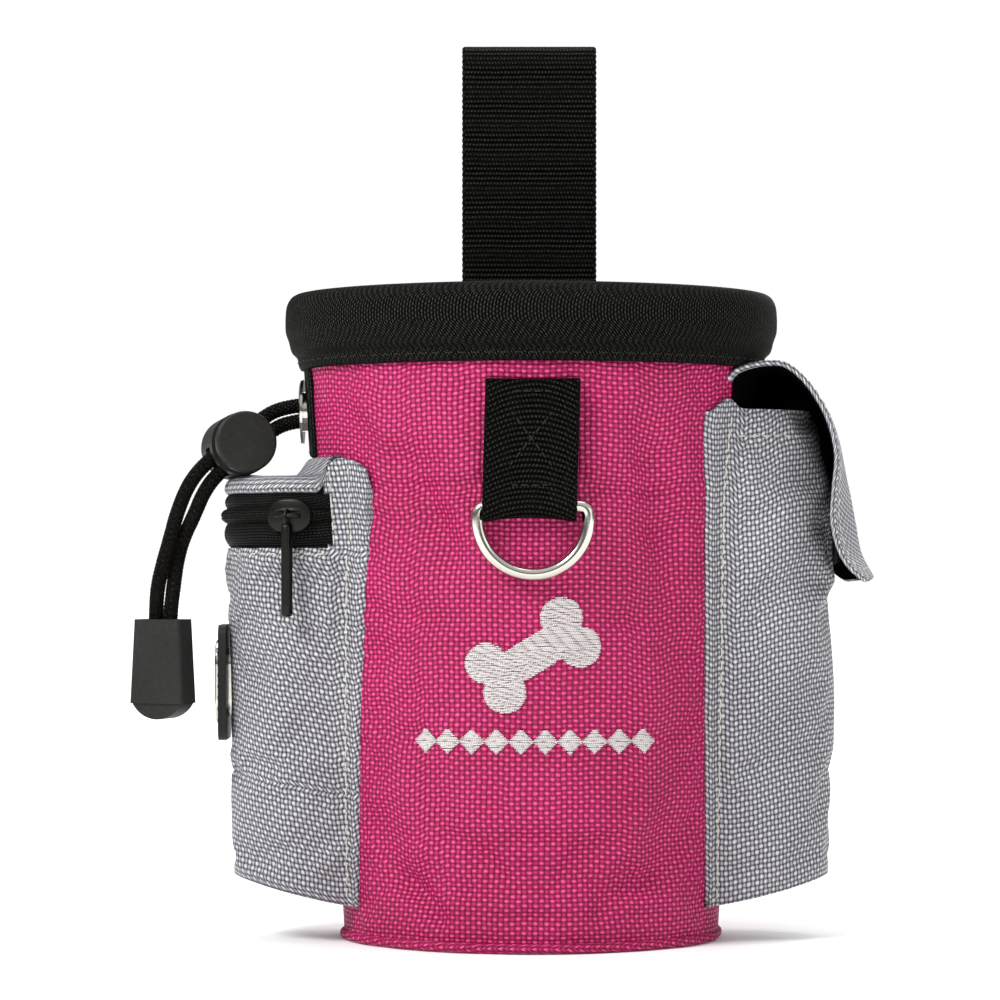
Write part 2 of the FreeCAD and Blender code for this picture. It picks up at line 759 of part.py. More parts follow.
def cord_end(place):
    """The moulded end on the two cord tails: a housing, a snap-on cap below it and the knot inside."""
    seam = made("Part::Cylinder", "seam_round", Radius=dim("end_seam_radius"), Height="30")
    seam.Placement = Placement(
        Vector(0, -15, value("-Dims.end_tall + Dims.end_seam_height - 1 + Dims.end_seam_radius")),
        Rotation(Vector(1, 0, 0), -90),
    )
    above = box("seam_above", ("-15", "15"), ("-15", "15"), ("-Dims.end_tall + 7", "5"))
    keep = fused("seam_keep", seam, above)
    hollow = box(
        "end_hollow", ("-Dims.end_hollow_wide / 2", "Dims.end_hollow_wide / 2"),
        ("-Dims.end_hollow_deep / 2", "Dims.end_hollow_deep / 2"),
        ("-Dims.end_tall + 2", "-Dims.end_mouth"),
    )
    mouth = box(
        "end_throat", ("-4.6", "4.6"), ("-2.4", "2.4"), ("-Dims.end_mouth - 1", "1")
    )
    housing = boolean("Common", "housing_common", end_block("housing_block"), keep)
    housing = cut("housing", housing, hollow, mouth)
    cap = cut("cap", end_block("cap_block"), keep, hollow)
    knot = made(
        "Part::Box", "knot_block", Length="Dims.end_hollow_wide - 0.6",
        Width="Dims.end_hollow_deep - 0.4", Height="9",
    )
    doc.recompute()
    rounded = doc.addObject("Part::Fillet", "knot_round")
    rounded.Base = knot
    rounded.Edges = [(k, 1.6, 1.6) for k in range(1, 13)]
    knot.Visibility = False
    corner = Vector(
        -value("Dims.end_hollow_wide / 2 - 0.3"), -value("Dims.end_hollow_deep / 2 - 0.2"), -15.1
    )
    rounded.Placement = place * Placement(corner, Rotation())
    for piece, label in ((housing, "cord_end_housing"), (cap, "cord_end_cap")):
        piece.Placement = place
        node(piece, label)
    node(rounded, "cord_end_knot")


# ---------------------------------------------------------------- side pockets


def half_round(name, side, height, x, long, wide=None):
    """A full ellipse or circle at one level of a side pocket; the pouch trims it to a half.

    Its seam is turned towards the pouch, so that none is left on the outside.
    """
    if wide is None:
        result = made("Part::Circle", name, Radius=long)
    else:
        result = made("Part::Ellipse", name, MajorRadius=long, MinorRadius=wide)
    bind(result, Placement__Base__x=f"{side} * {x}", Placement__Base__z=height)
    result.Placement.Rotation = Rotation(Vector(0, 0, 1), 180 if side == "1" else 0)
    return result


def pocket_block(name, side, inset, low, high):
    """The outside of a side pocket, less an inset all round, up to a height."""
    foot = half_round(
        f"{name}_foot", side, low, dim("foot_x"),
        f"Dims.foot_long - {inset}", f"Dims.foot_wide - {inset}",
    )
    top = half_round(f"{name}_top", side, high, dim("pocket_x"), f"Dims.pocket_radius - {inset}")
    result = doc.addObject("Part::Loft", name)
    result.Sections, result.Solid, result.Ruled = [foot, top], True, True
    return result


def round_block(name, side, radius, low, high):
    """A cylinder about a side pocket's upright axis."""
    return made(
        "Part::Cylinder", name, Radius=radius, Height=f"({high}) - ({low})",
        Placement__Base__x=f"{side} * Dims.pocket_x", Placement__Base__z=low,
    )


def pocket_floor(name, side, envelope):
    high = "Dims.pocket_low + Dims.floor_thick"
    flat = pocket_block(f"{name}_block", side, "0", dim("pocket_low"), dim("zip_bend"))
    slab = box(f"{name}_slab", ("-100", "100"), ("-50", "50"), (dim("pocket_low"), high))
    return boolean("Common", f"{name}_common", cut(f"{name}_trim", flat, envelope), slab)


def zip_pocket(envelope):
    low = "Dims.pocket_low + Dims.floor_thick"
    thick = dim("pocket_thick")
    outer = pocket_block("zip_outer", "-1", "0", dim("pocket_low"), dim("zip_bend"))
    inner = pocket_block("zip_inner", "-1", thick, dim("pocket_low"), dim("zip_bend"))
    foot = box("zip_foot", ("-100", "0"), ("-50", "50"), ("0", low))
    lower = cut("zip_lower", outer, inner, foot)
    inside = f"Dims.pocket_radius - {thick}"
    upper = cut(
        "zip_upper",
        round_block("zip_drum", "-1", dim("pocket_radius"), dim("zip_bend"), dim("skirt_top")),
        round_block("zip_drum_bore", "-1", inside, "Dims.zip_bend - 1", "Dims.skirt_top + 1"),
    )
    window = box(
        "zip_window", ("-100", "-Dims.zip_end_x"), ("-50", "50"), (dim("zip_low"), dim("zip_high"))
    )
    slot = slot_block("bag_slot", "Dims.slot_wide + 1.3", "Dims.slot_tall + 1.3", ("-95", "-70"))
    wall = cut("zip_wall", fused("zip_wall_whole", lower, upper), window, envelope, slot)
    node(wall, "zip_pocket_wall")
    node(pocket_floor("zip_floor", "-1", envelope), "zip_pocket_floor")

    profile = made("Sketcher::SketchObject", "lid_profile")
    profile.Placement = Placement(Vector(0, 50, 0), Rotation(Vector(1, 0, 0), 90))
    out, near = "-Dims.pocket_x - Dims.pocket_radius - 2", "-Dims.pocket_x + 10"
    edge = "Dims.skirt_top + 0.05"
    add_polygon(profile, [
        (out, f"{edge} - 0.6"), (near, f"{edge} + Dims.lid_rise + 3.9"),
        (near, f"{edge} + Dims.lid_rise + 5.1"), (out, f"{edge} + 0.6"),
    ])
    slope = made("Part::Extrusion", "lid_slope", LengthFwd="100")
    slope.Base, slope.DirMode, slope.Solid = profile, "Normal", True
    drum = round_block("lid_drum", "-1", dim("pocket_radius"), edge, "Dims.skirt_top + 20")
    lid = cut("lid", boolean("Common", "lid_common", slope, drum), envelope)
    node(lid, "zip_pocket_top")


def slot_block(name, wide, tall, x):
    """An upright rounded slot through the left side, as a body's pad."""
    body = new_body(name)
    sketch = body_sketch(body, "outline", "YZ_Plane", offset=x[0])
    add_slot(sketch, wide, tall)
    pad(body, "pad", sketch, f"({x[1]}) - ({x[0]})")
    return body


def add_slot(sketch, wide, tall):
    """An upright slot with round ends, centred on the dispenser."""
    radius, reach = value(f"({wide}) / 2"), value(f"(({tall}) - ({wide})) / 2")
    middle = value(dim("dispenser_z"))
    up = Vector(0, 0, 1)
    top = Part.Circle(Vector(0, middle + reach, 0), up, radius)
    foot = Part.Circle(Vector(0, middle - reach, 0), up, radius)
    first = sketch.GeometryCount
    high, low = middle + reach, middle - reach
    sketch.addGeometry(Part.ArcOfCircle(top, 0, math.pi), False)
    sketch.addGeometry(Part.LineSegment(Vector(-radius, high, 0), Vector(-radius, low, 0)), False)
    sketch.addGeometry(Part.ArcOfCircle(foot, math.pi, 2 * math.pi), False)
    sketch.addGeometry(Part.LineSegment(Vector(radius, low, 0), Vector(radius, high, 0)), False)
    for k in range(4):
        sketch.addConstraint(
            Sketcher.Constraint("Tangent", first + k, 2, first + (k + 1) % 4, 1)
        )
    pin_point(sketch, first, 3, "0", f"Dims.dispenser_z + (({tall}) - ({wide})) / 2")
    pin_point(sketch, first + 2, 3, "0", f"Dims.dispenser_z - (({tall}) - ({wide})) / 2")
    index = sketch.addConstraint(Sketcher.Constraint("Radius", first, radius))
    sketch.renameConstraint(index, f"slot{first}")
    sketch.setExpression(f"Constraints.slot{first}", f"({wide}) / 2")
    return sketch


def zip_ring(name, outer, inner, low, high):
    """A band of the zip: part of a cylinder about the pocket's axis, between the zip's two ends."""
    ring = cut(
        name,
        round_block(f"{name}_drum", "-1", outer, low, high),
        round_block(f"{name}_bore", "-1", inner, f"{low} - 1", f"{high} + 1"),
    )
    window = box(
        f"{name}_window", ("-100", "-Dims.zip_end_x - 0.1"), ("-50", "50"),
        ("Dims.zip_low - 10", "Dims.zip_high + 10"),
    )
    return boolean("Common", f"{name}_common", ring, window)


def zip_fastener():
    """Two woven tapes with a coil on each, and a slider with a hanging puller."""
    split = "Dims.zip_split / 2"
    middle = dim("zip_middle")
    lower_top, upper_low = f"{middle} - {split}", f"{middle} + {split}"
    tape = (dim("tape_out"), dim("tape_in"))
    low = "Dims.zip_low - Dims.tape_reach"
    high = "Dims.skirt_top - 0.1"
    node(zip_ring("tape_low", *tape, low, lower_top), "zip_tape_lower")
    node(zip_ring("tape_high", *tape, upper_low, high), "zip_tape_upper")
    coil = (dim("coil_out"), dim("tape_out"))
    lower = f"{lower_top} - Dims.coil_tall"
    node(zip_ring("coil_low", *coil, lower, lower_top), "zip_coil_lower")
    upper = f"{upper_low} + Dims.coil_tall"
    node(zip_ring("coil_high", *coil, upper_low, upper), "zip_coil_upper")

    half = "Dims.slider_tall / 2"
    pieces = []
    inner_low = "Dims.tape_in - Dims.slider_gap - Dims.slider_plate"
    outer_low = "Dims.coil_out + Dims.slider_gap"
    for name, inside, outside, tall in (
        ("slider_front", outer_low, f"{outer_low} + Dims.slider_plate", half),
        ("slider_rear", inner_low, "Dims.tape_in - Dims.slider_gap", half),
        ("slider_post", f"{inner_low} + 0.2", f"{outer_low} + 0.2", "Dims.post_tall / 2"),
        ("slider_bail", f"{outer_low} + 0.5", dim("bail_out"), dim("bail_half")),
    ):
        wide = {"slider_post": "5", "slider_bail": "13"}.get(name, dim("slider_width"))
        pieces.append(slider_arc(name, inside, outside, wide, middle, tall))
    under = f"{outer_low} + Dims.slider_plate"
    eye = slider_arc("slider_eye", under, "Dims.bail_out - Dims.bail_thick", "7.7", middle, "3")
    slider = cut("slider", fused("slider_whole", *pieces), eye)
    node(slider, "zip_slider")
    puller()


def slider_arc(name, inside, outside, wide, middle, half_tall):
    """A curved block on the zip's arc, centred on the slider's resting angle."""
    wedges = []
    for part, radius in (("outer", outside), ("inner", inside)):
        wedge = made(
            "Part::Cylinder", f"{name}_{part}", Radius=radius, Height=f"2 * ({half_tall})",
            Angle=wide, Placement__Base__x="-Dims.pocket_x",
            Placement__Base__z=f"{middle} - ({half_tall})",
        )
        start = 270 - value(dim("slider_from")) - value(wide) / 2
        wedge.Placement.Rotation = Rotation(Vector(0, 0, 1), start)
        wedges.append(wedge)
    return cut(name, *wedges)


def slider_point(radius, height):
    """A point on the slider's resting direction from the pocket's axis."""
    angle = math.radians(value(dim("slider_from")))
    return Vector(
        -value(dim("pocket_x")) - radius * math.sin(angle), -radius * math.cos(angle), height
    )


def puller():
    """A flat tab that hangs edge-on from the slider's bail."""
    body = new_body("puller_body")
    sketch = body_sketch(body, "outline", "YZ_Plane")
    half = "(Dims.puller_out - Dims.puller_in) / 2"
    slim = f"({half} - 0.5)"
    add_polygon(sketch, [
        (f"-{half}", "0.3"), (f"-{half} + 0.9", dim("puller_head")),
        (f"{half} - 0.9", dim("puller_head")), (half, "0.3"), (half, "-5"), (slim, "-8"),
        (slim, "Dims.puller_head - Dims.puller_long"),
        (f"-{slim}", "Dims.puller_head - Dims.puller_long"), (f"-{slim}", "-8"), (f"-{half}", "-5"),
    ])
    pad(body, "pad", sketch, dim("puller_thick"), midplane=True)
    sketch = body_sketch(body, "eye", "YZ_Plane")
    add_rectangle(sketch, f"-{half} + 0.7", "-Dims.puller_eye", f"{half} - 0.7", dim("puller_eye"))
    pocket(body, "eye_cut", sketch, "10", midplane=True)
    middle = value("(Dims.puller_out + Dims.puller_in) / 2")
    spot = slider_point(middle, value(dim("zip_middle")))
    body.Placement = Placement(spot, Rotation(Vector(0, 0, 1), -value(dim("slider_from"))))
    return node(body, "zip_puller")


def bag_dispenser():
    """The slot that bags are pulled through: a stiff plate and a long metal eyelet with a backing ring."""
    def plate_outline(body, name, x):
        sketch = body_sketch(body, name, "YZ_Plane", offset=x)
        half = "Dims.plate_wide / 2"
        return add_rectangle(
            sketch, f"-{half}", "Dims.dispenser_z - Dims.plate_tall / 2",
            half, "Dims.dispenser_z + Dims.plate_tall / 2",
        )

    front = "-Dims.plate_back - Dims.plate_thick"
    plate = new_body("plate_body")
    pad(plate, "pad", plate_outline(plate, "outline", front), dim("plate_thick"))
    sketch = body_sketch(plate, "hole", "YZ_Plane")
    add_slot(sketch, "Dims.slot_wide + 1.2", "Dims.slot_tall + 1.2")
    pocket(plate, "hole_cut", sketch, "200", midplane=True)
    thick = value(dim("plate_thick"))

    def at_corner(edge):
        """True for the plate's four short edges."""
        box_of = edge.BoundBox
        return abs(box_of.XLength - thick) < 0.01 and box_of.YLength < 0.01 and abs(box_of.Center.y) > 8

    round_edges(plate, "corners", "3", at_corner)
    node(plate, "dispenser_plate")

    eyelet = new_body("long_eyelet_body")
    sketch = body_sketch(eyelet, "flange", "YZ_Plane", offset=f"{front} - Dims.ring_thick")
    wide, tall = "Dims.slot_wide + 2 * Dims.ring_flange", "Dims.slot_tall + 2 * Dims.ring_flange"
    pad(eyelet, "flange_pad", add_slot(sketch, wide, tall), dim("ring_thick"))
    sketch = body_sketch(eyelet, "tube", "YZ_Plane", offset=front)
    add_slot(sketch, "Dims.slot_wide + 1", "Dims.slot_tall + 1")
    pad(eyelet, "tube_pad", sketch, "Dims.plate_thick + 1.9")
    sketch = body_sketch(eyelet, "hole", "YZ_Plane")
    add_slot(sketch, dim("slot_wide"), dim("slot_tall"))
    pocket(eyelet, "hole_cut", sketch, "200", midplane=True)
    face = value(f"{front} - Dims.ring_thick")
    round_edges(
        eyelet, "lip", "0.5",
        lambda e: abs(e.BoundBox.XMax - face) < 0.01,
    )
    node(eyelet, "dispenser_eyelet")


def flap_pocket(envelope):
    low = "Dims.pocket_low + Dims.floor_thick"

    def shell(name, outset, inset):
        """A layer of the pocket between two insets, with its shoulder drawn in at the mouth."""
        layers = []
        for part, depth in (("outer", outset), ("inner", inset)):
            label = f"{name}_{part}"
            shoulder = f"Dims.pocket_radius - ({depth})"
            mouth = f"Dims.mouth_radius - ({depth})"
            loft = doc.addObject("Part::Loft", label)
            loft.Sections = [
                half_round(
                    f"{label}_foot", "1", dim("pocket_low"), dim("foot_x"),
                    f"Dims.foot_long - ({depth})", f"Dims.foot_wide - ({depth})",
                ),
                half_round(f"{label}_shoulder", "1", dim("shoulder_z"), dim("pocket_x"), shoulder),
                half_round(f"{label}_mouth", "1", dim("mouth_z"), dim("mouth_x"), mouth),
            ]
            loft.Solid, loft.Ruled = True, True
            layers.append(loft)
        return cut(name, *layers)

    thick = dim("pocket_thick")
    foot = box("flap_foot", ("0", "100"), ("-50", "50"), ("0", low))
    node(cut("flap_wall", shell("flap_shell", "0", thick), foot, envelope), "flap_pocket_wall")
    node(pocket_floor("flap_floor", "1", envelope), "flap_pocket_floor")
    inner = shell("flap_inner", f"{thick} + 0.1", f"{thick} + 0.6")
    node(cut("pouch_lining", inner, foot, envelope), "flap_pocket_lining")


def sheet_profile(name, points, near, far, half):
    """A sheet bent along a line of points in the XZ plane, between two depths below that line."""
    def shifted(depth):
        moved = []
        for k, (x, z) in enumerate(points):
            a, b = points[max(k - 1, 0)], points[min(k + 1, len(points) - 1)]
            run = math.hypot(b[0] - a[0], b[1] - a[1])
            moved.append((x + (b[1] - a[1]) / run * depth, z - (b[0] - a[0]) / run * depth))
        return moved

    body = new_body(name)
    sketch = body_sketch(body, "profile", "XZ_Plane")
    outline = shifted(near) + shifted(far)[::-1]
    add_polygon(sketch, [(f"{x:.4f}", f"{z:.4f}") for x, z in outline])
    pad(body, "pad", sketch, f"2 * {half}", midplane=True)
    return body


def flap_parts(envelope):
    """The flap, its lining and its loop tape, the fixed root that it folds at, and the hook tape."""
    thick = value(dim("flap_thick"))
    under = thick + value(dim("flap_lining"))
    half = dim("flap_half")
    node(sheet_profile("flap_sheet", FLAP_PROFILE, 0.0, thick, half), "flap_outer")
    node(sheet_profile("flap_under", FLAP_PROFILE, thick, under, half), "flap_lining")
    held = FLAP_PROFILE[5:8]
    node(
        sheet_profile("loop_sheet", held, under, under + value(dim("hook_thick")), dim("tape_half")),
        "flap_loop_tape",
    )
    hinge = (value(dim("flap_hinge_x")) - 1.5, value(dim("flap_hinge_z")) - 0.2)
    root = sheet_profile("root_sheet", [(55.0, 154.6), (62.0, 157.0), hinge], 0.0, under, half)
    node(cut("flap_root_trim", root, envelope), "flap_root")
    edge = "Dims.pocket_x + Dims.pocket_radius + 0.1"
    hook = box(
        "hook_tape", (edge, f"{edge} + Dims.hook_thick"),
        ("-Dims.tape_half", "Dims.tape_half"), ("104", "121"),
    )
    node(hook, "pocket_hook_tape")


# ---------------------------------------------------------------- webbing, ring, belt loop


def front_webbing():
    """A folded length of webbing on the front, sewn down, whose lower fold holds the D-ring."""
    body = new_body("webbing_body")
    top, bar = dim("webbing_top"), dim("bar_z")
    face = lambda z: f"-{half_depth(z)} - 0.12"
    sketch = body_sketch(body, "plies", "YZ_Plane")
    ply = "2 * Dims.webbing_ply"
    add_polygon(sketch, [
        (face(top), top), (face(bar), bar), (f"{face(bar)} - {ply}", bar), (f"{face(top)} - {ply}", top),
    ])
    pad(body, "pad", sketch, "2 * Dims.webbing_half", midplane=True)
    sketch = body_sketch(body, "fold", "YZ_Plane")
    centre = f"{face(bar)} - Dims.ring_wire - 0.25 - Dims.webbing_ply"
    add_circle(sketch, centre, bar, "Dims.ring_wire + 0.25 + Dims.webbing_ply")
    pad(body, "fold_pad", sketch, "2 * Dims.webbing_half", midplane=True)
    sketch = body_sketch(body, "bar_hole", "YZ_Plane")
    add_circle(sketch, centre, bar, "Dims.ring_wire + 0.25")
    pocket(body, "bar_cut", sketch, "100", midplane=True)
    node(body, "ring_webbing")
    return value(centre)


def d_ring(bar_y):
    """A wire D: a straight bar, two tight corners and one large arc."""
    corner, arc, drop = (value(dim(n)) for n in ("ring_corner", "ring_arc", "ring_drop"))
    reach = math.sqrt((arc - corner) ** 2 - (drop - corner) ** 2)
    turn = math.atan2(drop - corner, reach)
    spine = made("Sketcher::SketchObject", "ring_spine")
    up = Vector(0, 0, 1)
    spots = [
        Part.ArcOfCircle(Part.Circle(Vector(reach, -corner, 0), up, corner), turn, math.pi / 2),
        Part.LineSegment(Vector(reach, 0, 0), Vector(-reach, 0, 0)),
        Part.ArcOfCircle(Part.Circle(Vector(-reach, -corner, 0), up, corner), math.pi / 2, math.pi - turn),
        Part.ArcOfCircle(Part.Circle(Vector(0, -drop, 0), up, arc), math.pi - turn, 2 * math.pi + turn),
    ]
    for edge in spots:
        spine.addGeometry(edge, False)
    for k in range(4):
        spine.addConstraint(Sketcher.Constraint("Tangent", k, 2, (k + 1) % 4, 1))
    spine.addConstraint(Sketcher.Constraint("Equal", 0, 2))
    spine.addConstraint(Sketcher.Constraint("PointOnObject", 3, 3, -2))
    spine.addConstraint(Sketcher.Constraint("PointOnObject", 1, 1, -1))
    spine.addConstraint(Sketcher.Constraint("PointOnObject", 1, 2, -1))
    for label, constraint, expression in (
        ("corner", Sketcher.Constraint("Radius", 0, corner), dim("ring_corner")),
        ("arc", Sketcher.Constraint("Radius", 3, arc), dim("ring_arc")),
        ("drop", Sketcher.Constraint("DistanceY", 3, 3, -1, 1, drop), dim("ring_drop")),
    ):
        index = spine.addConstraint(constraint)
        spine.renameConstraint(index, label)
        spine.setExpression(f"Constraints.{label}", expression)
    section = made("Part::Circle", "ring_section", Radius=dim("ring_wire"))
    section.Placement = Placement(Vector(reach, 0, 0), Rotation(Vector(0, 0, 1), Vector(-1, 0, 0)))
    ring = doc.addObject("Part::Sweep", "ring_sweep")
    ring.Sections, ring.Spine = [section], (spine, [f"Edge{k}" for k in range(1, 5)])
    ring.Solid, ring.Frenet = True, False
    doc.recompute()
    ring.Placement = Placement(
        Vector(0, bar_y, value(dim("bar_z"))), Rotation(Vector(1, 0, 0), 90)
    )
    return node(ring, "d_ring")


def belt_loop():
    """The webbing loop at the back: a sewn-down anchor and the loop that stands above the rim."""
    ply, low, seam = dim("belt_ply"), dim("belt_low"), dim("belt_seam")
    face = lambda z: f"{half_depth(z)} + 0.12"
    anchor = new_body("anchor_body")
    sketch = body_sketch(anchor, "plies", "YZ_Plane")
    add_polygon(sketch, [
        (face(low), low), (f"{face(low)} + 2 * {ply}", low),
        (f"{face(seam)} + 2 * {ply}", seam), (face(seam), seam),
    ])
    pad(anchor, "pad", sketch, "2 * Dims.belt_half", midplane=True)
    node(anchor, "belt_loop_anchor")

    loop = new_body("belt_body")
    near = dim("belt_face")
    far = f"{near} + 2 * {ply} + Dims.belt_gap"
    hinge = dim("belt_hinge")
    sketch = body_sketch(loop, "outside", "YZ_Plane")
    add_rectangle(sketch, near, hinge, far, dim("belt_top"))
    pad(loop, "pad", sketch, "2 * Dims.belt_half", midplane=True)
    sketch = body_sketch(loop, "gap", "YZ_Plane")
    add_rectangle(
        sketch, f"{near} + {ply}", f"{hinge} + 3", f"{far} - {ply}", f"Dims.belt_top - {ply}"
    )
    pocket(loop, "gap_cut", sketch, "100", midplane=True)
    top = value(dim("belt_top"))
    inner_top = value(f"Dims.belt_top - {ply}")
    round_edges(
        loop, "fold", "2.9",
        lambda e: at_height(inner_top)(e) and e.BoundBox.XLength > 30,
    )
    round_edges(
        loop, "top", "4.7",
        lambda e: at_height(top)(e) and e.BoundBox.XLength > 30,
    )
    node(loop, "belt_loop")


def embroidery():
    """A bone in thread on the front, over a row of small stitched diamonds."""
    layer = oval_ring("thread_skin", "40", "110", "0.05 + Dims.thread_thick", "0.05")
    spot = Vector(0, -80, value(dim("motif_z")))
    turn = value(dim("motif_turn"))

    def placed(x, z, rotation):
        """A spot on the front in the bone's own turned axes."""
        angle = math.radians(turn)
        shift = Vector(
            x * math.cos(angle) - z * math.sin(angle), 0, x * math.sin(angle) + z * math.cos(angle)
        )
        return Placement(spot + shift, rotation)

    toward_back = Rotation(Vector(1, 0, 0), -90)
    pieces = [made(
        "Part::Box", "bone_shaft", Length="2 * Dims.motif_long / 2 * 1.1", Width="60",
        Height="2 * Dims.motif_shaft",
    )]
    reach = value("Dims.motif_long / 2 * 1.1")
    pieces[0].Placement = placed(-reach, -value(dim("motif_shaft")), Rotation(Vector(0, 1, 0), -turn))
    for side in (-1, 1):
        for rise in (-1, 1):
            knob = made("Part::Cylinder", "bone_knob", Radius=dim("motif_knob"), Height="60")
            knob.Placement = placed(
                side * value("Dims.motif_long / 2 + 1.5"), rise * value(dim("motif_spread")), toward_back
            )
            pieces.append(knob)
    node(boolean("Common", "bone", fused("bone_whole", *pieces), layer), "embroidered_bone")

    diamonds = []
    for k in range(BORDER_COUNT):
        diamond = made(
            "Part::Box", "diamond", Length="2 * Dims.border_size", Width="60",
            Height="2 * Dims.border_size",
        )
        across = (k - (BORDER_COUNT - 1) / 2) * value(dim("border_pitch"))
        drop = value(dim("border_size")) * math.sqrt(2)
        diamond.Placement = Placement(
            Vector(across, -80, value(dim("border_z")) - drop), Rotation(Vector(0, 1, 0), -45)
        )
        diamonds.append(diamond)
    border = boolean("Common", "border", fused("border_whole", *diamonds), layer)
    node(border, "embroidered_border")


# ---------------------------------------------------------------- build, check and write


def build():
    hole = eyelet_hole()
    outer_shell(hole)
    base_panel()
    base_board()
    lining(hole)
    closure_collar(hole)
    drawcord_loop()
    node(hoop_ring("hoop", dim("hoop_radius")), "rim_hoop")
    rim_binding(hoop_ring("hoop_void", "Dims.hoop_radius + 0.05"))
    eyelet_parts()
    cord_tube("drawcord_tail_upper", STRAND_UPPER)
    cord_tube("drawcord_tail_lower", STRAND_LOWER)
    cord_lock(lock_frame())
    cord_end(end_frame())
    envelope = oval_block("envelope", "-5", "Dims.rim_low + 6", dim("envelope_gap"))
    zip_pocket(envelope)
    zip_fastener()
    bag_dispenser()
    flap_pocket(envelope)
    flap_parts(envelope)
    d_ring(front_webbing())
    belt_loop()
    embroidery()
    doc.recompute()


def check():
    faults = [
        f"{thing.Name}: {thing.State}" for thing in doc.Objects
        if any(word in thing.State for word in UNSOUND)
    ]
    faults += [
        f"{thing.Label}: no valid solid" for thing in subparts
        if thing.Shape.isNull() or not thing.Shape.isValid() or not thing.Shape.Solids
    ]
    if faults:
        raise RuntimeError("; ".join(faults))


def write():
    os.makedirs("parts", exist_ok=True)
    for thing in subparts:
        thing.Shape.exportStep(f"parts/{thing.Label}.step")


build()
check()
write()
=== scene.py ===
"""A belt pouch for dog treats: a round-bodied bag with a zip pocket and a flap pocket on its sides."""
import math

import bmesh
import bpy
import numpy as np
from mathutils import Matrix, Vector


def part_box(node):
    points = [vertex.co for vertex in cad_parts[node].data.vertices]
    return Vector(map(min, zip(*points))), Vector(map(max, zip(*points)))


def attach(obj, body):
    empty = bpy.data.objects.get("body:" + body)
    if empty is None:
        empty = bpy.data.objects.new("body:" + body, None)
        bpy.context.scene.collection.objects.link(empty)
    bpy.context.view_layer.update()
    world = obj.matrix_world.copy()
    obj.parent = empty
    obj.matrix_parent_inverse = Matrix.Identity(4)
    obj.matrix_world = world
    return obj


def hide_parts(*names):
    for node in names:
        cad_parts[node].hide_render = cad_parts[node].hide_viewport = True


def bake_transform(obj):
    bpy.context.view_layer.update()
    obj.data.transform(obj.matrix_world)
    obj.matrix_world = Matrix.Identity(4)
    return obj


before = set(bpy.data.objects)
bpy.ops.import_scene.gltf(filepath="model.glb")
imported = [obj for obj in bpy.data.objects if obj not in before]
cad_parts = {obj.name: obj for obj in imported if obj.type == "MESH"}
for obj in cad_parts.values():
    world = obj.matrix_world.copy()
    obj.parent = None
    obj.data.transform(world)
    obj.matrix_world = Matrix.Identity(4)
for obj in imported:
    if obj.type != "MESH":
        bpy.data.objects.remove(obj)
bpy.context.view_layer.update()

MM = 0.001
scene = bpy.context.scene


# ---------------------------------------------------------------- materials

def linear(red, green, blue):
    """A screen colour, 0 to 255, as Blender's linear colour."""
    parts = [c / 255 for c in (red, green, blue)]
    parts = [c / 12.92 if c <= 0.04045 else ((c + 0.055) / 1.055) ** 2.4 for c in parts]
    return (*parts, 1.0)


class Graph:
    """One material's node tree, with short ways to add to it."""

    def __init__(self, name, rough=0.6, metal=0.0, sheen=0.0, level=0.5):
        self.material = bpy.data.materials.new(name)
        self.material.use_nodes = True
        self.tree = self.material.node_tree
        self.shader = self.tree.nodes["Principled BSDF"]
        for socket, value in (
            ("Roughness", rough), ("Metallic", metal), ("Sheen Weight", sheen),
            ("Specular IOR Level", level),
        ):
            self.shader.inputs[socket].default_value = value

    def node(self, kind, output=0, settings=None, **inputs):
        """Adds a node, sets or links its inputs, and returns one of its outputs."""
        made = self.tree.nodes.new(kind)
        for key, value in (settings or {}).items():
            setattr(made, key, value)
        for key, value in inputs.items():
            socket = made.inputs[int(key[1:])] if key[1:].isdigit() else made.inputs[key]
            if isinstance(value, bpy.types.NodeSocket):
                self.tree.links.new(value, socket)
            else:
                socket.default_value = value
        return made.outputs[output]

    def math(self, operation, first, second=0.0, third=0.0):
        settings = {"operation": operation}
        return self.node("ShaderNodeMath", settings=settings, _0=first, _1=second, _2=third)

    def ramp(self, share, stops):
        made = self.tree.nodes.new("ShaderNodeValToRGB")
        self.tree.links.new(share, made.inputs[0])
        row = made.color_ramp.elements
        while len(row) < len(stops):
            row.new(0.5)
        for element, (place, colour) in zip(row, stops):
            element.position = place
            element.color = colour
        return made.outputs[0]

    def place(self):
        return self.node("ShaderNodeTexCoord", "Object")

    def noise(self, scale, detail=2.0, vector=None):
        vector = vector or self.place()
        return self.node("ShaderNodeTexNoise", Vector=vector, Scale=scale, Detail=detail)

    def weave_place(self):
        """The cloth's own coordinates, across and along, in metres."""
        where = self.node("ShaderNodeUVMap", settings={"uv_map": "weave"})
        return (
            self.node("ShaderNodeSeparateXYZ", "X", Vector=where),
            self.node("ShaderNodeSeparateXYZ", "Y", Vector=where),
        )

    def colour(self, socket):
        self.tree.links.new(socket, self.shader.inputs["Base Color"])

    def rough(self, socket):
        self.tree.links.new(socket, self.shader.inputs["Roughness"])

    def bump(self, height, strength, distance):
        made = self.node(
            "ShaderNodeBump", Height=height, Strength=strength, Distance=distance
        )
        self.tree.links.new(made, self.shader.inputs["Normal"])


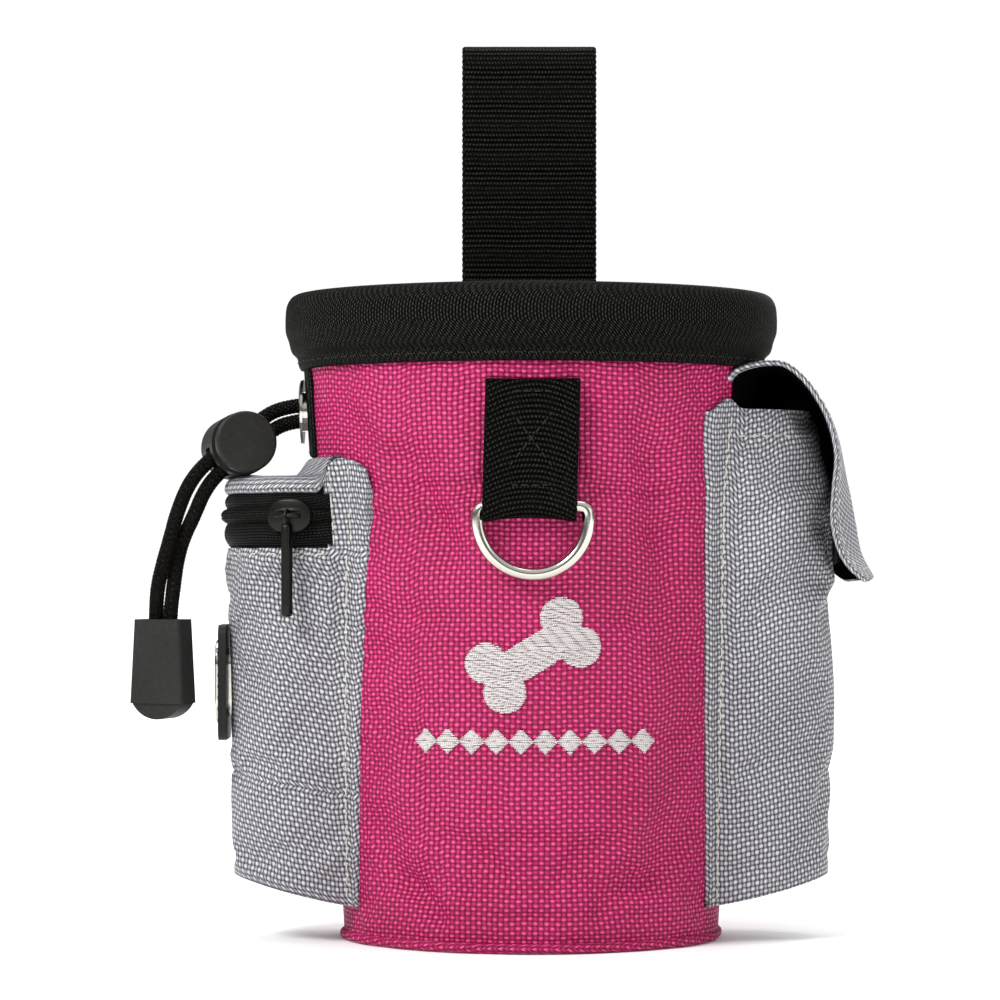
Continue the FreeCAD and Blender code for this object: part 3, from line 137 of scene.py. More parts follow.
def woven(name, colours, pitch, relief=1.0, deep=0.0003, weft=0.8, rough=0.5, blotch=0.05,
          level=0.03, lead=0.0):
    """Plain-woven cloth: threads of the given pitch (mm) over and under each other. lead is how far
    the warp stands over the weft, which has weft times its height."""
    g = Graph(name, rough=rough, level=level)
    u, v = g.weave_place()
    drift = g.noise(90.0, 2.0)
    drift = g.math("MULTIPLY", g.math("SUBTRACT", drift, 0.5), 0.0011)
    across = g.math("SINE", g.math("MULTIPLY", g.math("ADD", u, drift), math.pi / (pitch[0] * MM)))
    along = g.math("SINE", g.math("MULTIPLY", g.math("ADD", v, drift), math.pi / (pitch[1] * MM)))
    over = g.math("SIGN", g.math("MULTIPLY", across, along))
    across, along = g.math("ABSOLUTE", across), g.math("ABSOLUTE", along)
    warp = g.math("MULTIPLY_ADD", g.math("MULTIPLY", over, along), 0.5, lead)
    warp = g.math("MULTIPLY_ADD", g.math("POWER", across, 0.6), 0.5, warp)
    warp = g.math("DIVIDE", warp, 1.0 + lead)
    filling = g.math("MULTIPLY", g.math("MULTIPLY", over, across), -0.5)
    filling = g.math("MULTIPLY_ADD", g.math("POWER", along, 0.6), 0.5, filling)
    height = g.math("MAXIMUM", warp, g.math("MULTIPLY", filling, weft))
    grain = g.math("MULTIPLY_ADD", g.noise(2600.0, 1.0), 0.24, -0.12)
    soft = g.math("MULTIPLY_ADD", g.noise(38.0, 3.0), 2 * blotch, -blotch)
    # The ramp turns the threads' height into colour: painted shade in the low gaps and on the lower
    # weft floats, and a painted highlight on the thread tops. grain and soft add the cloth's own
    # uneven tone.
    shade_highlight_and_tone = g.math("ADD", g.math("ADD", height, grain), soft)
    g.colour(g.ramp(shade_highlight_and_tone, colours))
    g.rough(g.math("MULTIPLY_ADD", height, -0.22, rough + 0.18))
    g.bump(height, relief, deep)
    return g.material


def ribbed(name, colours, rib, fine, rough=0.5, upright=False, bound=0.16):
    """Narrow webbing: cords across it, rib mm apart, bound by threads fine mm apart that press them
    down by the share bound. Upright, the cords run up the cloth instead."""
    g = Graph(name, rough=rough, level=0.03)
    u, v = reversed(g.weave_place()) if upright else g.weave_place()
    drift = g.math("MULTIPLY", g.math("SUBTRACT", g.noise(110.0, 2.0), 0.5), 0.0006)
    cord = g.math("SINE", g.math("MULTIPLY", g.math("ADD", v, drift), math.pi / (rib * MM)))
    bind = g.math("SINE", g.math("MULTIPLY", u, math.pi / (fine * MM)))
    over = g.math("MULTIPLY", g.math("SIGN", cord), bind)
    arch = g.math("POWER", g.math("ABSOLUTE", cord), 0.55)
    height = g.math("MULTIPLY", arch, g.math("MULTIPLY_ADD", over, bound, 1 - bound))
    grain = g.math("MULTIPLY_ADD", g.noise(3000.0, 1.0), 0.4, -0.2)
    # The ramp turns the cords' height into colour: painted shade in the grooves between cords and a
    # painted highlight on the cord tops.
    g.colour(g.ramp(g.math("ADD", height, grain), colours))
    g.bump(height, 0.9, 0.0004)
    return g.material


def moulded(name, colour, lighter, rough=0.55, grain=900.0):
    """Plastic with a fine spark-eroded texture."""
    g = Graph(name, rough=rough, level=0.28)
    cloud = g.noise(60.0, 3.0)
    speckle = g.noise(grain, 2.0)
    g.colour(g.ramp(g.math("MULTIPLY_ADD", speckle, 0.5, g.math("MULTIPLY", cloud, 0.5)),
                    [(0.3, colour), (0.75, lighter)]))
    g.rough(g.math("MULTIPLY_ADD", cloud, 0.16, rough - 0.08))
    g.bump(speckle, 0.25, 0.00012)
    return g.material


def plated(name, colour, rough):
    """Plated or painted metal, with faint wear in its gloss."""
    g = Graph(name, rough=rough, metal=1.0)
    cloud = g.noise(120.0, 4.0)
    fine = g.noise(1500.0, 3.0)
    bright = (*(min(1.0, c * 1.12) for c in colour[:3]), 1.0)
    g.colour(g.ramp(cloud, [(0.25, colour), (0.8, bright)]))
    g.rough(g.math("MULTIPLY_ADD", fine, 0.1, rough - 0.05))
    g.bump(fine, 0.08, 0.00005)
    return g.material


def thread(name, dark, light, rough=0.55):
    """Sewing thread: the twist shows as fine slanted streaks."""
    g = Graph(name, rough=rough, level=0.2)
    u, v = g.weave_place()
    twist = g.math("ADD", g.math("MULTIPLY", u, 5200.0), g.math("MULTIPLY", v, 5200.0))
    height = g.math("ABSOLUTE", g.math("SINE", twist))
    cloud = g.math("MULTIPLY_ADD", g.noise(300.0, 2.0), 0.5, -0.25)
    # The slanted streaks are painted shade in the twist's grooves and a painted highlight on its
    # ridges.
    g.colour(g.ramp(g.math("ADD", height, cloud), [(0.1, dark), (0.7, light)]))
    g.bump(height, 0.4, 0.0001)
    return g.material


def fuzzy(name, dark, light, scale):
    """The nap of a hook or loop tape."""
    g = Graph(name, rough=0.85, sheen=0.08, level=0.1)
    fibres = g.noise(scale, 6.0)
    g.colour(g.ramp(fibres, [(0.3, dark), (0.7, light)]))
    g.bump(fibres, 0.8, 0.0005)
    return g.material


# Each cloth's colour list runs from painted shade in the thread gaps, through the cloth's own colour,
# to a painted highlight on the thread tops. The cord's brightest stop is its painted glint on the
# braid.
PINK = woven(
    "pink_oxford",
    [(0.16, linear(74, 0, 26)), (0.44, linear(132, 2, 60)), (0.70, linear(166, 16, 82)),
     (1.0, linear(236, 80, 152))],
    (1.53, 1.28), weft=0.78, blotch=0.09, level=0.3, deep=0.0005,
)
GREY = woven(
    "grey_oxford",
    [(0.24, linear(24, 24, 34)), (0.46, linear(78, 77, 86)), (0.70, linear(134, 133, 138)),
     (1.0, linear(212, 211, 216))],
    (1.20, 1.45), weft=0.84, blotch=0.06, level=0.3, deep=0.0005, lead=0.16,
)
BLACK_CLOTH = woven(
    "black_lining",
    [(0.10, linear(1, 1, 1)), (0.60, linear(5, 5, 5)), (1.0, linear(16, 16, 16))],
    (0.7, 0.7), relief=0.6, deep=0.0002, rough=0.75, level=0.0,
)
BINDING = ribbed(
    "black_binding",
    [(0.25, linear(1, 1, 1)), (0.62, linear(4, 4, 3)), (0.86, linear(18, 18, 16)),
     (1.08, linear(58, 58, 53))],
    0.9, 0.62, upright=True, bound=0.08, rough=0.65,
)
WEBBING = ribbed(
    "black_webbing",
    [(0.25, linear(1, 1, 1)), (0.66, linear(4, 4, 3)), (0.88, linear(17, 17, 15)),
     (1.08, linear(54, 54, 49))],
    1.48, 0.5,
)
TAPE = woven(
    "black_zip_tape",
    [(0.15, linear(1, 1, 1)), (0.60, linear(5, 5, 5)), (1.0, linear(50, 50, 48))],
    (0.55, 0.8),
)
CORD = woven(
    "black_cord",
    [(0.15, linear(1, 1, 1)), (0.55, linear(5, 5, 4)), (0.80, linear(20, 19, 17)),
     (1.0, linear(72, 70, 64))],
    (0.55, 0.85),
)
# Each thread's dark colour is painted shade in its twist's grooves, and its light colour a painted
# highlight on the ridges.
PALE_THREAD = thread("pale_thread", linear(140, 136, 118), linear(214, 209, 192))
BLACK_THREAD = thread("black_thread", linear(4, 4, 4), linear(34, 34, 32))
WHITE_THREAD = thread("embroidery_thread", linear(150, 144, 144), linear(214, 208, 207), rough=0.45)
CHARCOAL = moulded("charcoal_plastic", linear(14, 16, 13), linear(34, 36, 32))
PLATE_BLACK = moulded("plate_plastic", linear(14, 14, 14), linear(32, 32, 31), rough=0.5)
BOARD = moulded("stiff_board", linear(60, 58, 54), linear(92, 88, 82), rough=0.8, grain=400.0)
NICKEL = plated("bright_nickel", linear(196, 193, 184), 0.12)
BLACK_METAL = plated("black_metal", linear(40, 40, 38), 0.36)
STEEL = plated("spring_steel", linear(150, 150, 152), 0.28)
HOOKS = fuzzy("hook_side", linear(8, 8, 8), linear(36, 36, 35), 1800.0)
LOOPS = fuzzy("loop_side", linear(8, 8, 8), linear(42, 42, 41), 900.0)


# ---------------------------------------------------------------- mesh helpers

def sheet(name, grid, closed=False, closed_v=False, middle=0, capped=False):
    """A mesh over a grid of points (mm), outward where its first index runs anticlockwise from above
    and its second one up. Its weave map holds the cloth's lengths, across from column middle; capped
    measures them from the second row, because the first one closes an end."""
    grid = np.asarray(grid, float)
    columns, rows = grid.shape[:2]
    wide = np.concatenate([grid, grid[:1]], 0) if closed else grid
    full = np.concatenate([wide, wide[:, :1]], 1) if closed_v else wide
    step = np.linalg.norm(np.diff(full, axis=0), axis=2)
    across = np.concatenate([np.zeros((1, full.shape[1])), np.cumsum(step, 0)], 0)
    across -= across[middle]
    step = np.linalg.norm(np.diff(full, axis=1), axis=2)
    along = np.concatenate([np.zeros((full.shape[0], 1)), np.cumsum(step, 1)], 1)
    along -= along[:, int(capped)][:, None]
    i, j = lattice(np.arange(full.shape[0] - 1), np.arange(full.shape[1] - 1))
    ring = [(i, j), (i + 1, j), (i + 1, j + 1), (i, j + 1)]
    faces = np.stack([(a % columns) * rows + b % rows for a, b in ring], -1).reshape(-1, 4)
    corners = np.stack([np.stack([across[a, b], along[a, b]], -1) for a, b in ring], 2)
    return solid(name, grid.reshape(-1, 3), faces, corners.reshape(-1, 2))


def solid(name, points, faces, corners=None):
    """A smooth-shaded mesh object from points in mm."""
    mesh = bpy.data.meshes.new(name)
    faces = [list(map(int, f)) for f in faces]
    mesh.from_pydata((np.asarray(points) * MM).tolist(), [], faces)
    if corners is not None:
        layer = mesh.uv_layers.new(name="weave")
        layer.data.foreach_set("uv", (np.asarray(corners) * MM).ravel())
    mesh.polygons.foreach_set("use_smooth", [True] * len(mesh.polygons))
    made = bpy.data.objects.new(name, mesh)
    scene.collection.objects.link(made)
    return made


def baked(piece):
    """Puts what a piece's modifiers make into its mesh."""
    graph = bpy.context.evaluated_depsgraph_get()
    mesh = bpy.data.meshes.new_from_object(piece.evaluated_get(graph))
    piece.modifiers.clear()
    piece.data = mesh
    return piece


def thickened(piece, thick, rounded=0.0, even=True):
    """Gives a sheet its thickness in mm, inward, with rounded edges."""
    made = piece.modifiers.new("thickness", "SOLIDIFY")
    made.thickness = thick * MM
    made.offset = -1.0
    made.use_even_offset = even
    made.use_quality_normals = True
    if rounded:
        made = piece.modifiers.new("edges", "BEVEL")
        made.width = rounded * MM
        made.segments = 2
        made.limit_method = "ANGLE"
        made.angle_limit = math.radians(55)
    return baked(piece)


def joined(name, pieces, weld=0.0):
    """One piece made of several."""
    points, faces, corners, start = [], [], [], 0
    for piece in pieces:
        mesh = piece.data
        co = np.empty(len(mesh.vertices) * 3)
        mesh.vertices.foreach_get("co", co)
        points.append(co.reshape(-1, 3) / MM)
        uv = np.empty(len(mesh.loops) * 2)
        mesh.uv_layers["weave"].data.foreach_get("uv", uv)
        corners.append(uv.reshape(-1, 2) / MM)
        faces += [[v + start for v in p.vertices] for p in mesh.polygons]
        start += len(mesh.vertices)
        bpy.data.objects.remove(piece)
    made = solid(name, np.concatenate(points), faces, np.concatenate(corners))
    if weld:
        fuse = made.modifiers.new("weld", "WELD")
        fuse.merge_threshold = weld * MM
        baked(made)
    return made


def finished(piece, material, body="pouch", stands_for=()):
    """A piece's last steps: its material, the body it rides on, the nodes it replaces."""
    piece.data.materials.clear()
    piece.data.materials.append(material)
    if body:
        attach(piece, body)
    if stands_for:
        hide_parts(*stands_for)
    return piece


def keep(node, material):
    """A CAD node that stays as it is, with a better material."""
    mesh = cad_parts[node].data
    mesh.materials.clear()
    mesh.materials.append(material)


def unit(vectors):
    return vectors / np.maximum(np.linalg.norm(vectors, axis=-1, keepdims=True), 1e-9)


def stack(x, y, z):
    return np.stack(np.broadcast_arrays(x, y, z), -1).astype(float)


def ease(value, low, high):
    """0 below low, 1 above high, smooth between."""
    share = np.clip((value - low) / (high - low), 0, 1)
    return share * share * (3 - 2 * share)


def lattice(across, up):
    """Two grids of values, the first index running with across and the second with up."""
    return np.meshgrid(across, up, indexing="ij")


def route(points, spacing):
    """Points a given spacing (mm) apart along the smooth spline through a route's control points."""
    curve = bpy.data.curves.new("route", "CURVE")
    curve.dimensions = "3D"
    curve.resolution_u = 24
    spline = curve.splines.new("NURBS")
    spline.points.add(len(points) - 1)
    for spot, at in zip(spline.points, points):
        spot.co = (*(c * MM for c in at), 1)
    spline.order_u = 3
    spline.use_endpoint_u = True
    holder = bpy.data.objects.new("route", curve)
    scene.collection.objects.link(holder)
    graph = bpy.context.evaluated_depsgraph_get()
    mesh = bpy.data.meshes.new_from_object(holder.evaluated_get(graph))
    line = np.array([v.co for v in mesh.vertices]) / MM
    bpy.data.objects.remove(holder)
    return spaced(line, spacing)


def lengths_along(line):
    """How far along a polyline each of its points is."""
    return np.concatenate([[0], np.cumsum(np.linalg.norm(np.diff(line, axis=0), axis=1))])


def along_line(wanted, run, values):
    """Vectors known at the lengths run, read at the wanted lengths."""
    return np.stack([np.interp(wanted, run, values[:, k]) for k in range(values.shape[1])], -1)


def spaced(line, spacing=None, count=None):
    """A polyline's points again, evenly apart."""
    line = np.asarray(line, float)
    run = lengths_along(line)
    count = count or max(2, int(round(run[-1] / spacing)) + 1)
    return along_line(np.linspace(0, run[-1], count), run, line)


def rails(line, first_side):
    """A direction across and one out for each point of a line, turned along it without twisting."""
    along = unit(np.gradient(line, axis=0))
    side = np.array(first_side, float)
    sides = []
    for direction in along:
        side = side - direction * side.dot(direction)
        side = side / np.linalg.norm(side)
        sides.append(side)
    sides = np.array(sides)
    return along, sides, np.cross(along, sides)


def fanned(grid, ends=None):
    """A grid of rings with a point at each end that closes it."""
    ends = (grid[:, 0].mean(0), grid[:, -1].mean(0)) if ends is None else ends
    first, last = (np.broadcast_to(end, (len(grid), 1, 3)) for end in ends)
    return np.concatenate([first, grid, last], 1)


def tube(name, line, radius, around=16, side=(0, 0, 1), bumps=None, closed=False):
    """A round bar along a line; radius may differ along it; bumps(angle, length) adds to it in mm."""
    line = np.asarray(line, float)
    if closed:
        padded = np.concatenate([line[-2:], line, line[:2]])
        along, first, second = (part[2:-2] for part in rails(padded, side))
    else:
        along, first, second = rails(line, side)
    run = lengths_along(line)
    angle = np.linspace(0, 2 * math.pi, around, endpoint=False)
    a, s = lattice(angle, run)
    r = np.broadcast_to(np.broadcast_to(radius, (len(line),))[None], a.shape).astype(float)
    if bumps:
        r = r + bumps(a, s)
    grid = line[None] + r[..., None] * (
        np.cos(a)[..., None] * first[None] + np.sin(a)[..., None] * second[None]
    )
    if not closed:
        grid = fanned(grid, (line[0], line[-1]))
    return sheet(name, grid, closed=True, closed_v=closed, capped=not closed)


def ribbon(name, line, side, half, thick, pitch=0.0, rise=0.0, bend=0.0, lean=None):
    """A flat strap along a line, with ribs across it. Its flat side faces across x side; bend is the
    radius of the curved surface that it lies on."""
    line = np.asarray(line, float)
    along = unit(np.gradient(line, axis=0))
    side = unit(np.broadcast_to(np.array(side, float), line.shape))
    out = unit(np.cross(side, along))
    run = lengths_along(line)
    rib = np.abs(np.sin(np.pi * run / pitch)) ** 0.7 * rise if pitch else 0 * run
    flat = np.linspace(-1, 1, 15)
    edge = np.linspace(0, math.pi, 7)[1:-1]
    inner = half - thick / 2
    a = np.concatenate([flat * inner, inner + np.sin(edge) * thick / 2,
                        -flat * inner, -inner - np.sin(edge) * thick / 2])
    b = np.concatenate([np.full(15, -thick / 2), -np.cos(edge) * thick / 2,
                        np.full(15, thick / 2), np.cos(edge) * thick / 2])
    grow = 1 + (rib[None] - rise) / (thick / 2)
    out_by = b[:, None] * grow - (a[:, None] ** 2 / (2 * bend) if bend else 0)
    past_edge = np.sign(a) * (np.abs(a) > inner)
    side_by = a[:, None] + past_edge[:, None] * (rib - rise)[None]
    grid = line[None] + side_by[..., None] * side[None] + out_by[..., None] * out[None]
    if lean is not None:
        grid = grid + lean(grid)
    return sheet(name, fanned(grid)[::-1], closed=True, capped=True)


def stitches(name, line, normals, long=2.6, gap=0.9, radius=0.22, sink=0.15):
    """A row of sewn stitches along a line that lies on a surface."""
    line, normals = np.asarray(line, float), unit(np.asarray(normals, float))
    run = lengths_along(line)
    count = max(1, int(run[-1] / (long + gap)))
    shift = (run[-1] - count * (long + gap)) / 2
    bows = np.array([-0.5, -0.42, -0.2, 0.0, 0.2, 0.42, 0.5])
    lift = np.array([-1.3, -0.2, 0.6, 0.8, 0.6, -0.2, -1.3]) * radius
    fat = np.array([0.45, 0.85, 1.0, 1.0, 1.0, 0.85, 0.45]) * radius
    pieces = []
    for k in range(count):
        middle = shift + (k + 0.5) * (long + gap)
        at = middle + bows * long
        spots, out = along_line(at, run, line), along_line(at, run, normals)
        spots = spots + out * (lift - sink)[:, None]
        pieces.append((spots, fat, out[3]))
    return capsules(name, pieces)


def capsules(name, pieces):
    """Many short lengths of thread in one mesh: (points, radii, outward) for each."""
    points, faces, corners, start = [], [], [], 0
    sides = 6
    for spots, fat, out in pieces:
        rings = len(spots)
        along = unit(np.gradient(spots, axis=0))
        first = unit(out - along * (along @ out)[:, None])
        second = np.cross(along, first)
        angle = np.arange(sides) * 2 * math.pi / sides
        ring = (np.cos(angle)[None, :, None] * first[:, None]
                + np.sin(angle)[None, :, None] * second[:, None])
        points.append((spots[:, None] + ring * fat[:, None, None]).reshape(-1, 3))
        run = lengths_along(spots)
        for i in range(rings - 1):
            for j in range(sides):
                n = (j + 1) % sides
                faces.append([start + i * sides + j, start + (i + 1) * sides + j,
                              start + (i + 1) * sides + n, start + i * sides + n][::-1])
                across = (j, j, j + 1, j + 1)
                lengths = (run[i], run[i + 1], run[i + 1], run[i])
                corners += list(zip((a * 0.25 for a in across), lengths))[::-1]
        for ring_start, order in ((0, 1), ((rings - 1) * sides, -1)):
            cap = [start + ring_start + j for j in range(sides)][::order]
            faces.append(cap)
            corners += [(0.0, 0.0)] * sides
        start += rings * sides
    return solid(name, np.concatenate(points), faces, corners)


# ---------------------------------------------------------------- the pouch's shape, in mm

END_X, END_R, SIDE_R, SIDE_Y = 18.5, 44.0, 67.5, 14.49
TURN = math.radians(38.07)
BREAKS = [math.pi / 2, math.pi - TURN, math.pi + TURN, 2 * math.pi - TURN, 2 * math.pi + TURN,
          5 * math.pi / 2]
REACHES = [SIDE_R, END_R, SIDE_R, END_R, SIDE_R]
LENGTHS = [0.0]
for low, high, reach in zip(BREAKS, BREAKS[1:], REACHES):
    LENGTHS.append(LENGTHS[-1] + (high - low) * reach)
ROUND = LENGTHS[-1]


def taper(z):
    """How large the pouch's oval is at height z, next to its size at the binding."""
    return 0.832 + 0.168 * z / 158


def end_curve(y):
    """How far out the rounded ends of the full-size oval are at that y."""
    return END_X + np.sqrt(END_R**2 - y**2)


def around(s, z, grow=0.0):
    """Points and outward directions on the pouch's oval: s mm round it from the back's middle,
    anticlockwise from above, at height z, grow mm outside it."""
    s, z = np.broadcast_arrays(np.asarray(s, float), np.asarray(z, float))
    angle = np.interp(np.mod(s, ROUND), LENGTHS, BREAKS)
    scale = taper(z)
    on_side = np.abs(np.sin(angle)) > math.sin(TURN)
    x = np.where(on_side, 0, np.sign(np.cos(angle)) * END_X) * scale
    y = np.where(on_side, -np.sign(np.sin(angle)) * SIDE_Y, 0) * scale
    reach = np.where(on_side, SIDE_R, END_R) * scale + grow
    out = stack(np.cos(angle), np.sin(angle), 0 * z)
    return stack(x, y, z) + out * reach[..., None], out


def locate(x, y, z):
    """How far round the pouch the spot is, and how far outside its oval."""
    x, y, z = np.broadcast_arrays(*(np.asarray(v, float) for v in (x, y, z)))
    scale = taper(z)
    ex, ey = np.abs(x) - scale * END_X, np.abs(y)
    angle = np.arctan2(ey, ex)
    at_side = np.arctan2(ey + scale * SIDE_Y, np.abs(x))
    on_side = angle > TURN
    angle = np.where(on_side, at_side, angle)
    gap = np.where(
        on_side, np.hypot(x, ey + scale * SIDE_Y) - scale * SIDE_R, np.hypot(ex, ey) - scale * END_R
    )
    angle = np.where(x >= 0, np.where(y >= 0, 2 * math.pi + angle, 2 * math.pi - angle),
                     np.where(y >= 0, math.pi - angle, math.pi + angle))
    return np.interp(angle, BREAKS, LENGTHS), gap


def front_at(x, z):
    """How far round the pouch its front is at that x."""
    x, z = np.broadcast_arrays(np.asarray(x, float), np.asarray(z, float))
    scale = taper(z)
    lean = np.arcsin(np.clip(np.abs(x) / (scale * SIDE_R), 0, math.sin(math.pi / 2 - TURN)))
    y_side = np.cos(lean) * scale * SIDE_R - scale * SIDE_Y
    past = np.clip((np.abs(x) - scale * END_X) / (scale * END_R), 0, 1)
    y_end = np.sqrt(1 - past * past) * scale * END_R
    on_side = np.abs(x) < scale * SIDE_R * math.cos(TURN)
    return locate(x, -np.where(on_side, y_side, y_end), z)[0]


def catmull(position, count, closed):
    """The four neighbours of each position on a row of samples, with their smooth weights."""
    low = np.floor(position).astype(int)
    f = position - low
    weights = (
        (-f + 2 * f**2 - f**3) / 2, (2 - 5 * f**2 + 3 * f**3) / 2,
        (f + 4 * f**2 - 3 * f**3) / 2, (-(f**2) + f**3) / 2,
    )
    for step, weight in zip((-1, 0, 1, 2), weights):
        index = (low + step) % count if closed else np.clip(low + step, 0, count - 1)
        yield index, weight


def circuit(count):
    """Evenly spaced places round the pouch."""
    return np.linspace(0, ROUND, count, endpoint=False)


class Swell:
    """How far the cloth stands out, known on a grid of samples and read smoothly in between."""

    def __init__(self, values, u_range, v_range, closed):
        self.values, self.u_range, self.v_range, self.closed = values, u_range, v_range, closed

    def __call__(self, u, v):
        u, v = np.broadcast_arrays(np.asarray(u, float), np.asarray(v, float))
        columns, rows = self.values.shape
        x = (u - self.u_range[0]) / (self.u_range[1] - self.u_range[0])
        y = (v - self.v_range[0]) / (self.v_range[1] - self.v_range[0])
        x = x * (columns if self.closed else columns - 1)
        y = np.clip(y, 0, 1) * (rows - 1)
        if not self.closed:
            x = np.clip(x, 0, columns - 1)
        total = np.zeros(x.shape)
        for i, across in catmull(x, columns, self.closed):
            for j, up in catmull(y, rows, False):
                total += across * up * self.values[i, j]
        return total


SETTLING_FRAMES = 20


def settled_cloth(grid, closed, held, pressure, spare, cap, bending=0.4):
    """How far, up to cap mm, each point of a cloth moves outward when it is held where held is true
    and filled, from a short cloth simulation. spare is the share by which the cloth is too large
    for its place."""
    piece = sheet("settling", grid, closed)
    count = len(piece.data.vertices)
    before = np.empty(count * 3)
    piece.data.vertices.foreach_get("co", before)
    outward = np.empty(count * 3)
    piece.data.vertices.foreach_get("normal", outward)
    group = piece.vertex_groups.new(name="held")
    group.add([int(k) for k in np.flatnonzero(held.ravel())], 1.0, "REPLACE")
    cloth = piece.modifiers.new("cloth", "CLOTH")
    settings = cloth.settings
    settings.quality = 6
    settings.mass = 0.1
    settings.tension_stiffness = settings.compression_stiffness = 12
    settings.shear_stiffness = 4
    settings.bending_stiffness = bending
    settings.vertex_group_mass = "held"
    settings.shrink_min = -spare
    settings.use_pressure = True
    settings.uniform_pressure_force = pressure
    settings.effector_weights.gravity = 0.0
    cloth.collision_settings.use_collision = False
    cloth.point_cache.frame_start = 1
    cloth.point_cache.frame_end = SETTLING_FRAMES
    for number in range(1, SETTLING_FRAMES + 1):
        scene.frame_set(number)
    graph = bpy.context.evaluated_depsgraph_get()
    after = np.empty(count * 3)
    piece.evaluated_get(graph).data.vertices.foreach_get("co", after)
    moved = ((after - before).reshape(-1, 3) * outward.reshape(-1, 3)).sum(1) / MM
    bpy.data.objects.remove(piece)
    scene.frame_set(1)
    return cap * np.tanh(moved / cap).reshape(grid.shape[:2])


# ---------------------------------------------------------------- camera and light

VIEWPOINT, LENS, SHIFT_UP = (-0.0087, -0.950, 0.1066), 122.3, 0.055
camera_data = bpy.data.cameras.new("camera")
camera_data.sensor_width = 36
camera_data.lens = LENS
camera_data.shift_y = SHIFT_UP
camera_data.clip_end = 20
camera = bpy.data.objects.new("camera", camera_data)
scene.collection.objects.link(camera)
camera.location = VIEWPOINT
camera.rotation_euler = (math.pi / 2, 0, 0)
scene.camera = camera


LIGHTS_AIM = Vector((0.0, 0.0, 0.11))


def area_light(name, place, size, power):
    """A soft rectangular light at place, turned toward the bag's middle."""
    data = bpy.data.lights.new(name, "AREA")
    data.shape = "RECTANGLE"
    data.size, data.size_y = size
    data.energy = power
    lamp = bpy.data.objects.new(name, data)
    scene.collection.objects.link(lamp)
    lamp.location = place
    lamp.rotation_euler = (LIGHTS_AIM - Vector(place)).to_track_quat("-Z", "Y").to_euler()


area_light("key_light", (-0.60, -0.60, 0.80), (0.35, 0.35), 10.0)
area_light("fill_light", (0.80, -0.55, 0.30), (0.6, 0.7), 1.6)
area_light("top_light", (0.05, 0.10, 1.00), (0.8, 0.6), 5.0)
area_light("back_light", (0.25, 0.80, 0.55), (0.8, 0.6), 4.0)
world = bpy.data.worlds.new("studio")
world.use_nodes = True
sky = world.node_tree
ambient = sky.nodes["Background"]
ambient.inputs["Strength"].default_value = 1.0
paper = sky.nodes.new("ShaderNodeBackground")
paper.inputs["Color"].default_value = (1, 1, 1, 1)
paper.inputs["Strength"].default_value = 1.02
chooser, ray = sky.nodes.new("ShaderNodeMixShader"), sky.nodes.new("ShaderNodeLightPath")
sky.links.new(ray.outputs["Is Camera Ray"], chooser.inputs[0])
sky.links.new(ambient.outputs[0], chooser.inputs[1])
sky.links.new(paper.outputs[0], chooser.inputs[2])
sky.links.new(chooser.outputs[0], sky.nodes["World Output"].inputs["Surface"])
place, height = sky.nodes.new("ShaderNodeTexCoord"), sky.nodes.new("ShaderNodeSeparateXYZ")
shade = sky.nodes.new("ShaderNodeValToRGB")
sky.links.new(place.outputs["Generated"], height.inputs[0])
sky.links.new(height.outputs["Z"], shade.inputs[0])
bands = shade.color_ramp.elements
bands.new(0.5)
bands.new(0.5)
for band, (level, grey) in zip(bands, [(0.0, 0.30), (0.18, 0.16), (0.42, 0.62), (0.9, 0.85)]):
    band.position = level
    band.color = (grey, grey, grey, 1)
sky.links.new(shade.outputs[0], ambient.inputs["Color"])
scene.world = world
scene.view_settings.view_transform = "Standard"

floor_look = Graph("floor_paper", rough=0.9, level=0.1)
floor_look.colour(floor_look.ramp(floor_look.noise(6.0, 3.0),
                                  [(0.3, (0.86, 0.86, 0.86, 1)), (0.7, (0.88, 0.88, 0.88, 1))]))
away = floor_look.node("ShaderNodeVectorMath", 1, {"operation": "LENGTH"}, _0=floor_look.place())
glow = floor_look.node("ShaderNodeMapRange", _0=away, _1=0.20, _2=0.9, _3=0.06, _4=0.85)
floor_look.shader.inputs["Emission Color"].default_value = (1, 1, 1, 1)
floor_look.tree.links.new(glow, floor_look.shader.inputs["Emission Strength"])
reach = 9000.0
bed = np.array([[[-reach, -reach, 0], [-reach, reach, 0]], [[reach, -reach, 0], [reach, reach, 0]]])
floor = sheet("floor", bed)
floor.data.materials.append(floor_look.material)


# ---------------------------------------------------------------- the two cord tails

STRAND_UPPER = [
    (-59.4, 0.0, 148.75), (-69.2, -1.0, 148.4), (-77.1, -5.0, 143.1), (-89.5, -10.0, 132.7),
    (-94.4, -12.6, 126.7), (-97.6, -14.7, 118.4), (-99.1, -17.6, 111.4), (-101.1, -18.4, 104.3),
    (-102.8, -17.7, 97.2), (-103.2, -16.8, 89.6), (-103.2, -16.8, 83.0),
]
STRAND_LOWER = [
    (-59.4, 0.0, 144.45), (-67.6, -0.9, 144.1), (-74.1, -4.3, 140.0), (-86.6, -9.3, 129.5),
    (-90.4, -12.0, 124.2), (-93.0, -14.1, 117.4), (-96.1, -14.1, 111.0), (-97.7, -15.4, 104.3),
    (-98.4, -17.3, 97.2), (-99.2, -18.4, 89.6), (-99.2, -18.4, 83.0),
]
CORD_D = 4.0


def braid(angle, length):
    """The plaited strands' bulges on a cord, in mm."""
    turn = 2 * math.pi * length / 9.0
    left = np.sin(4 * angle + 4 * turn)
    right = np.sin(4 * angle - 4 * turn)
    return 0.24 * np.abs(left * right) ** 0.6 - 0.1


def braided(name, line, **more):
    return tube(name, line, CORD_D / 2 - 0.05, around=40, bumps=braid, **more)


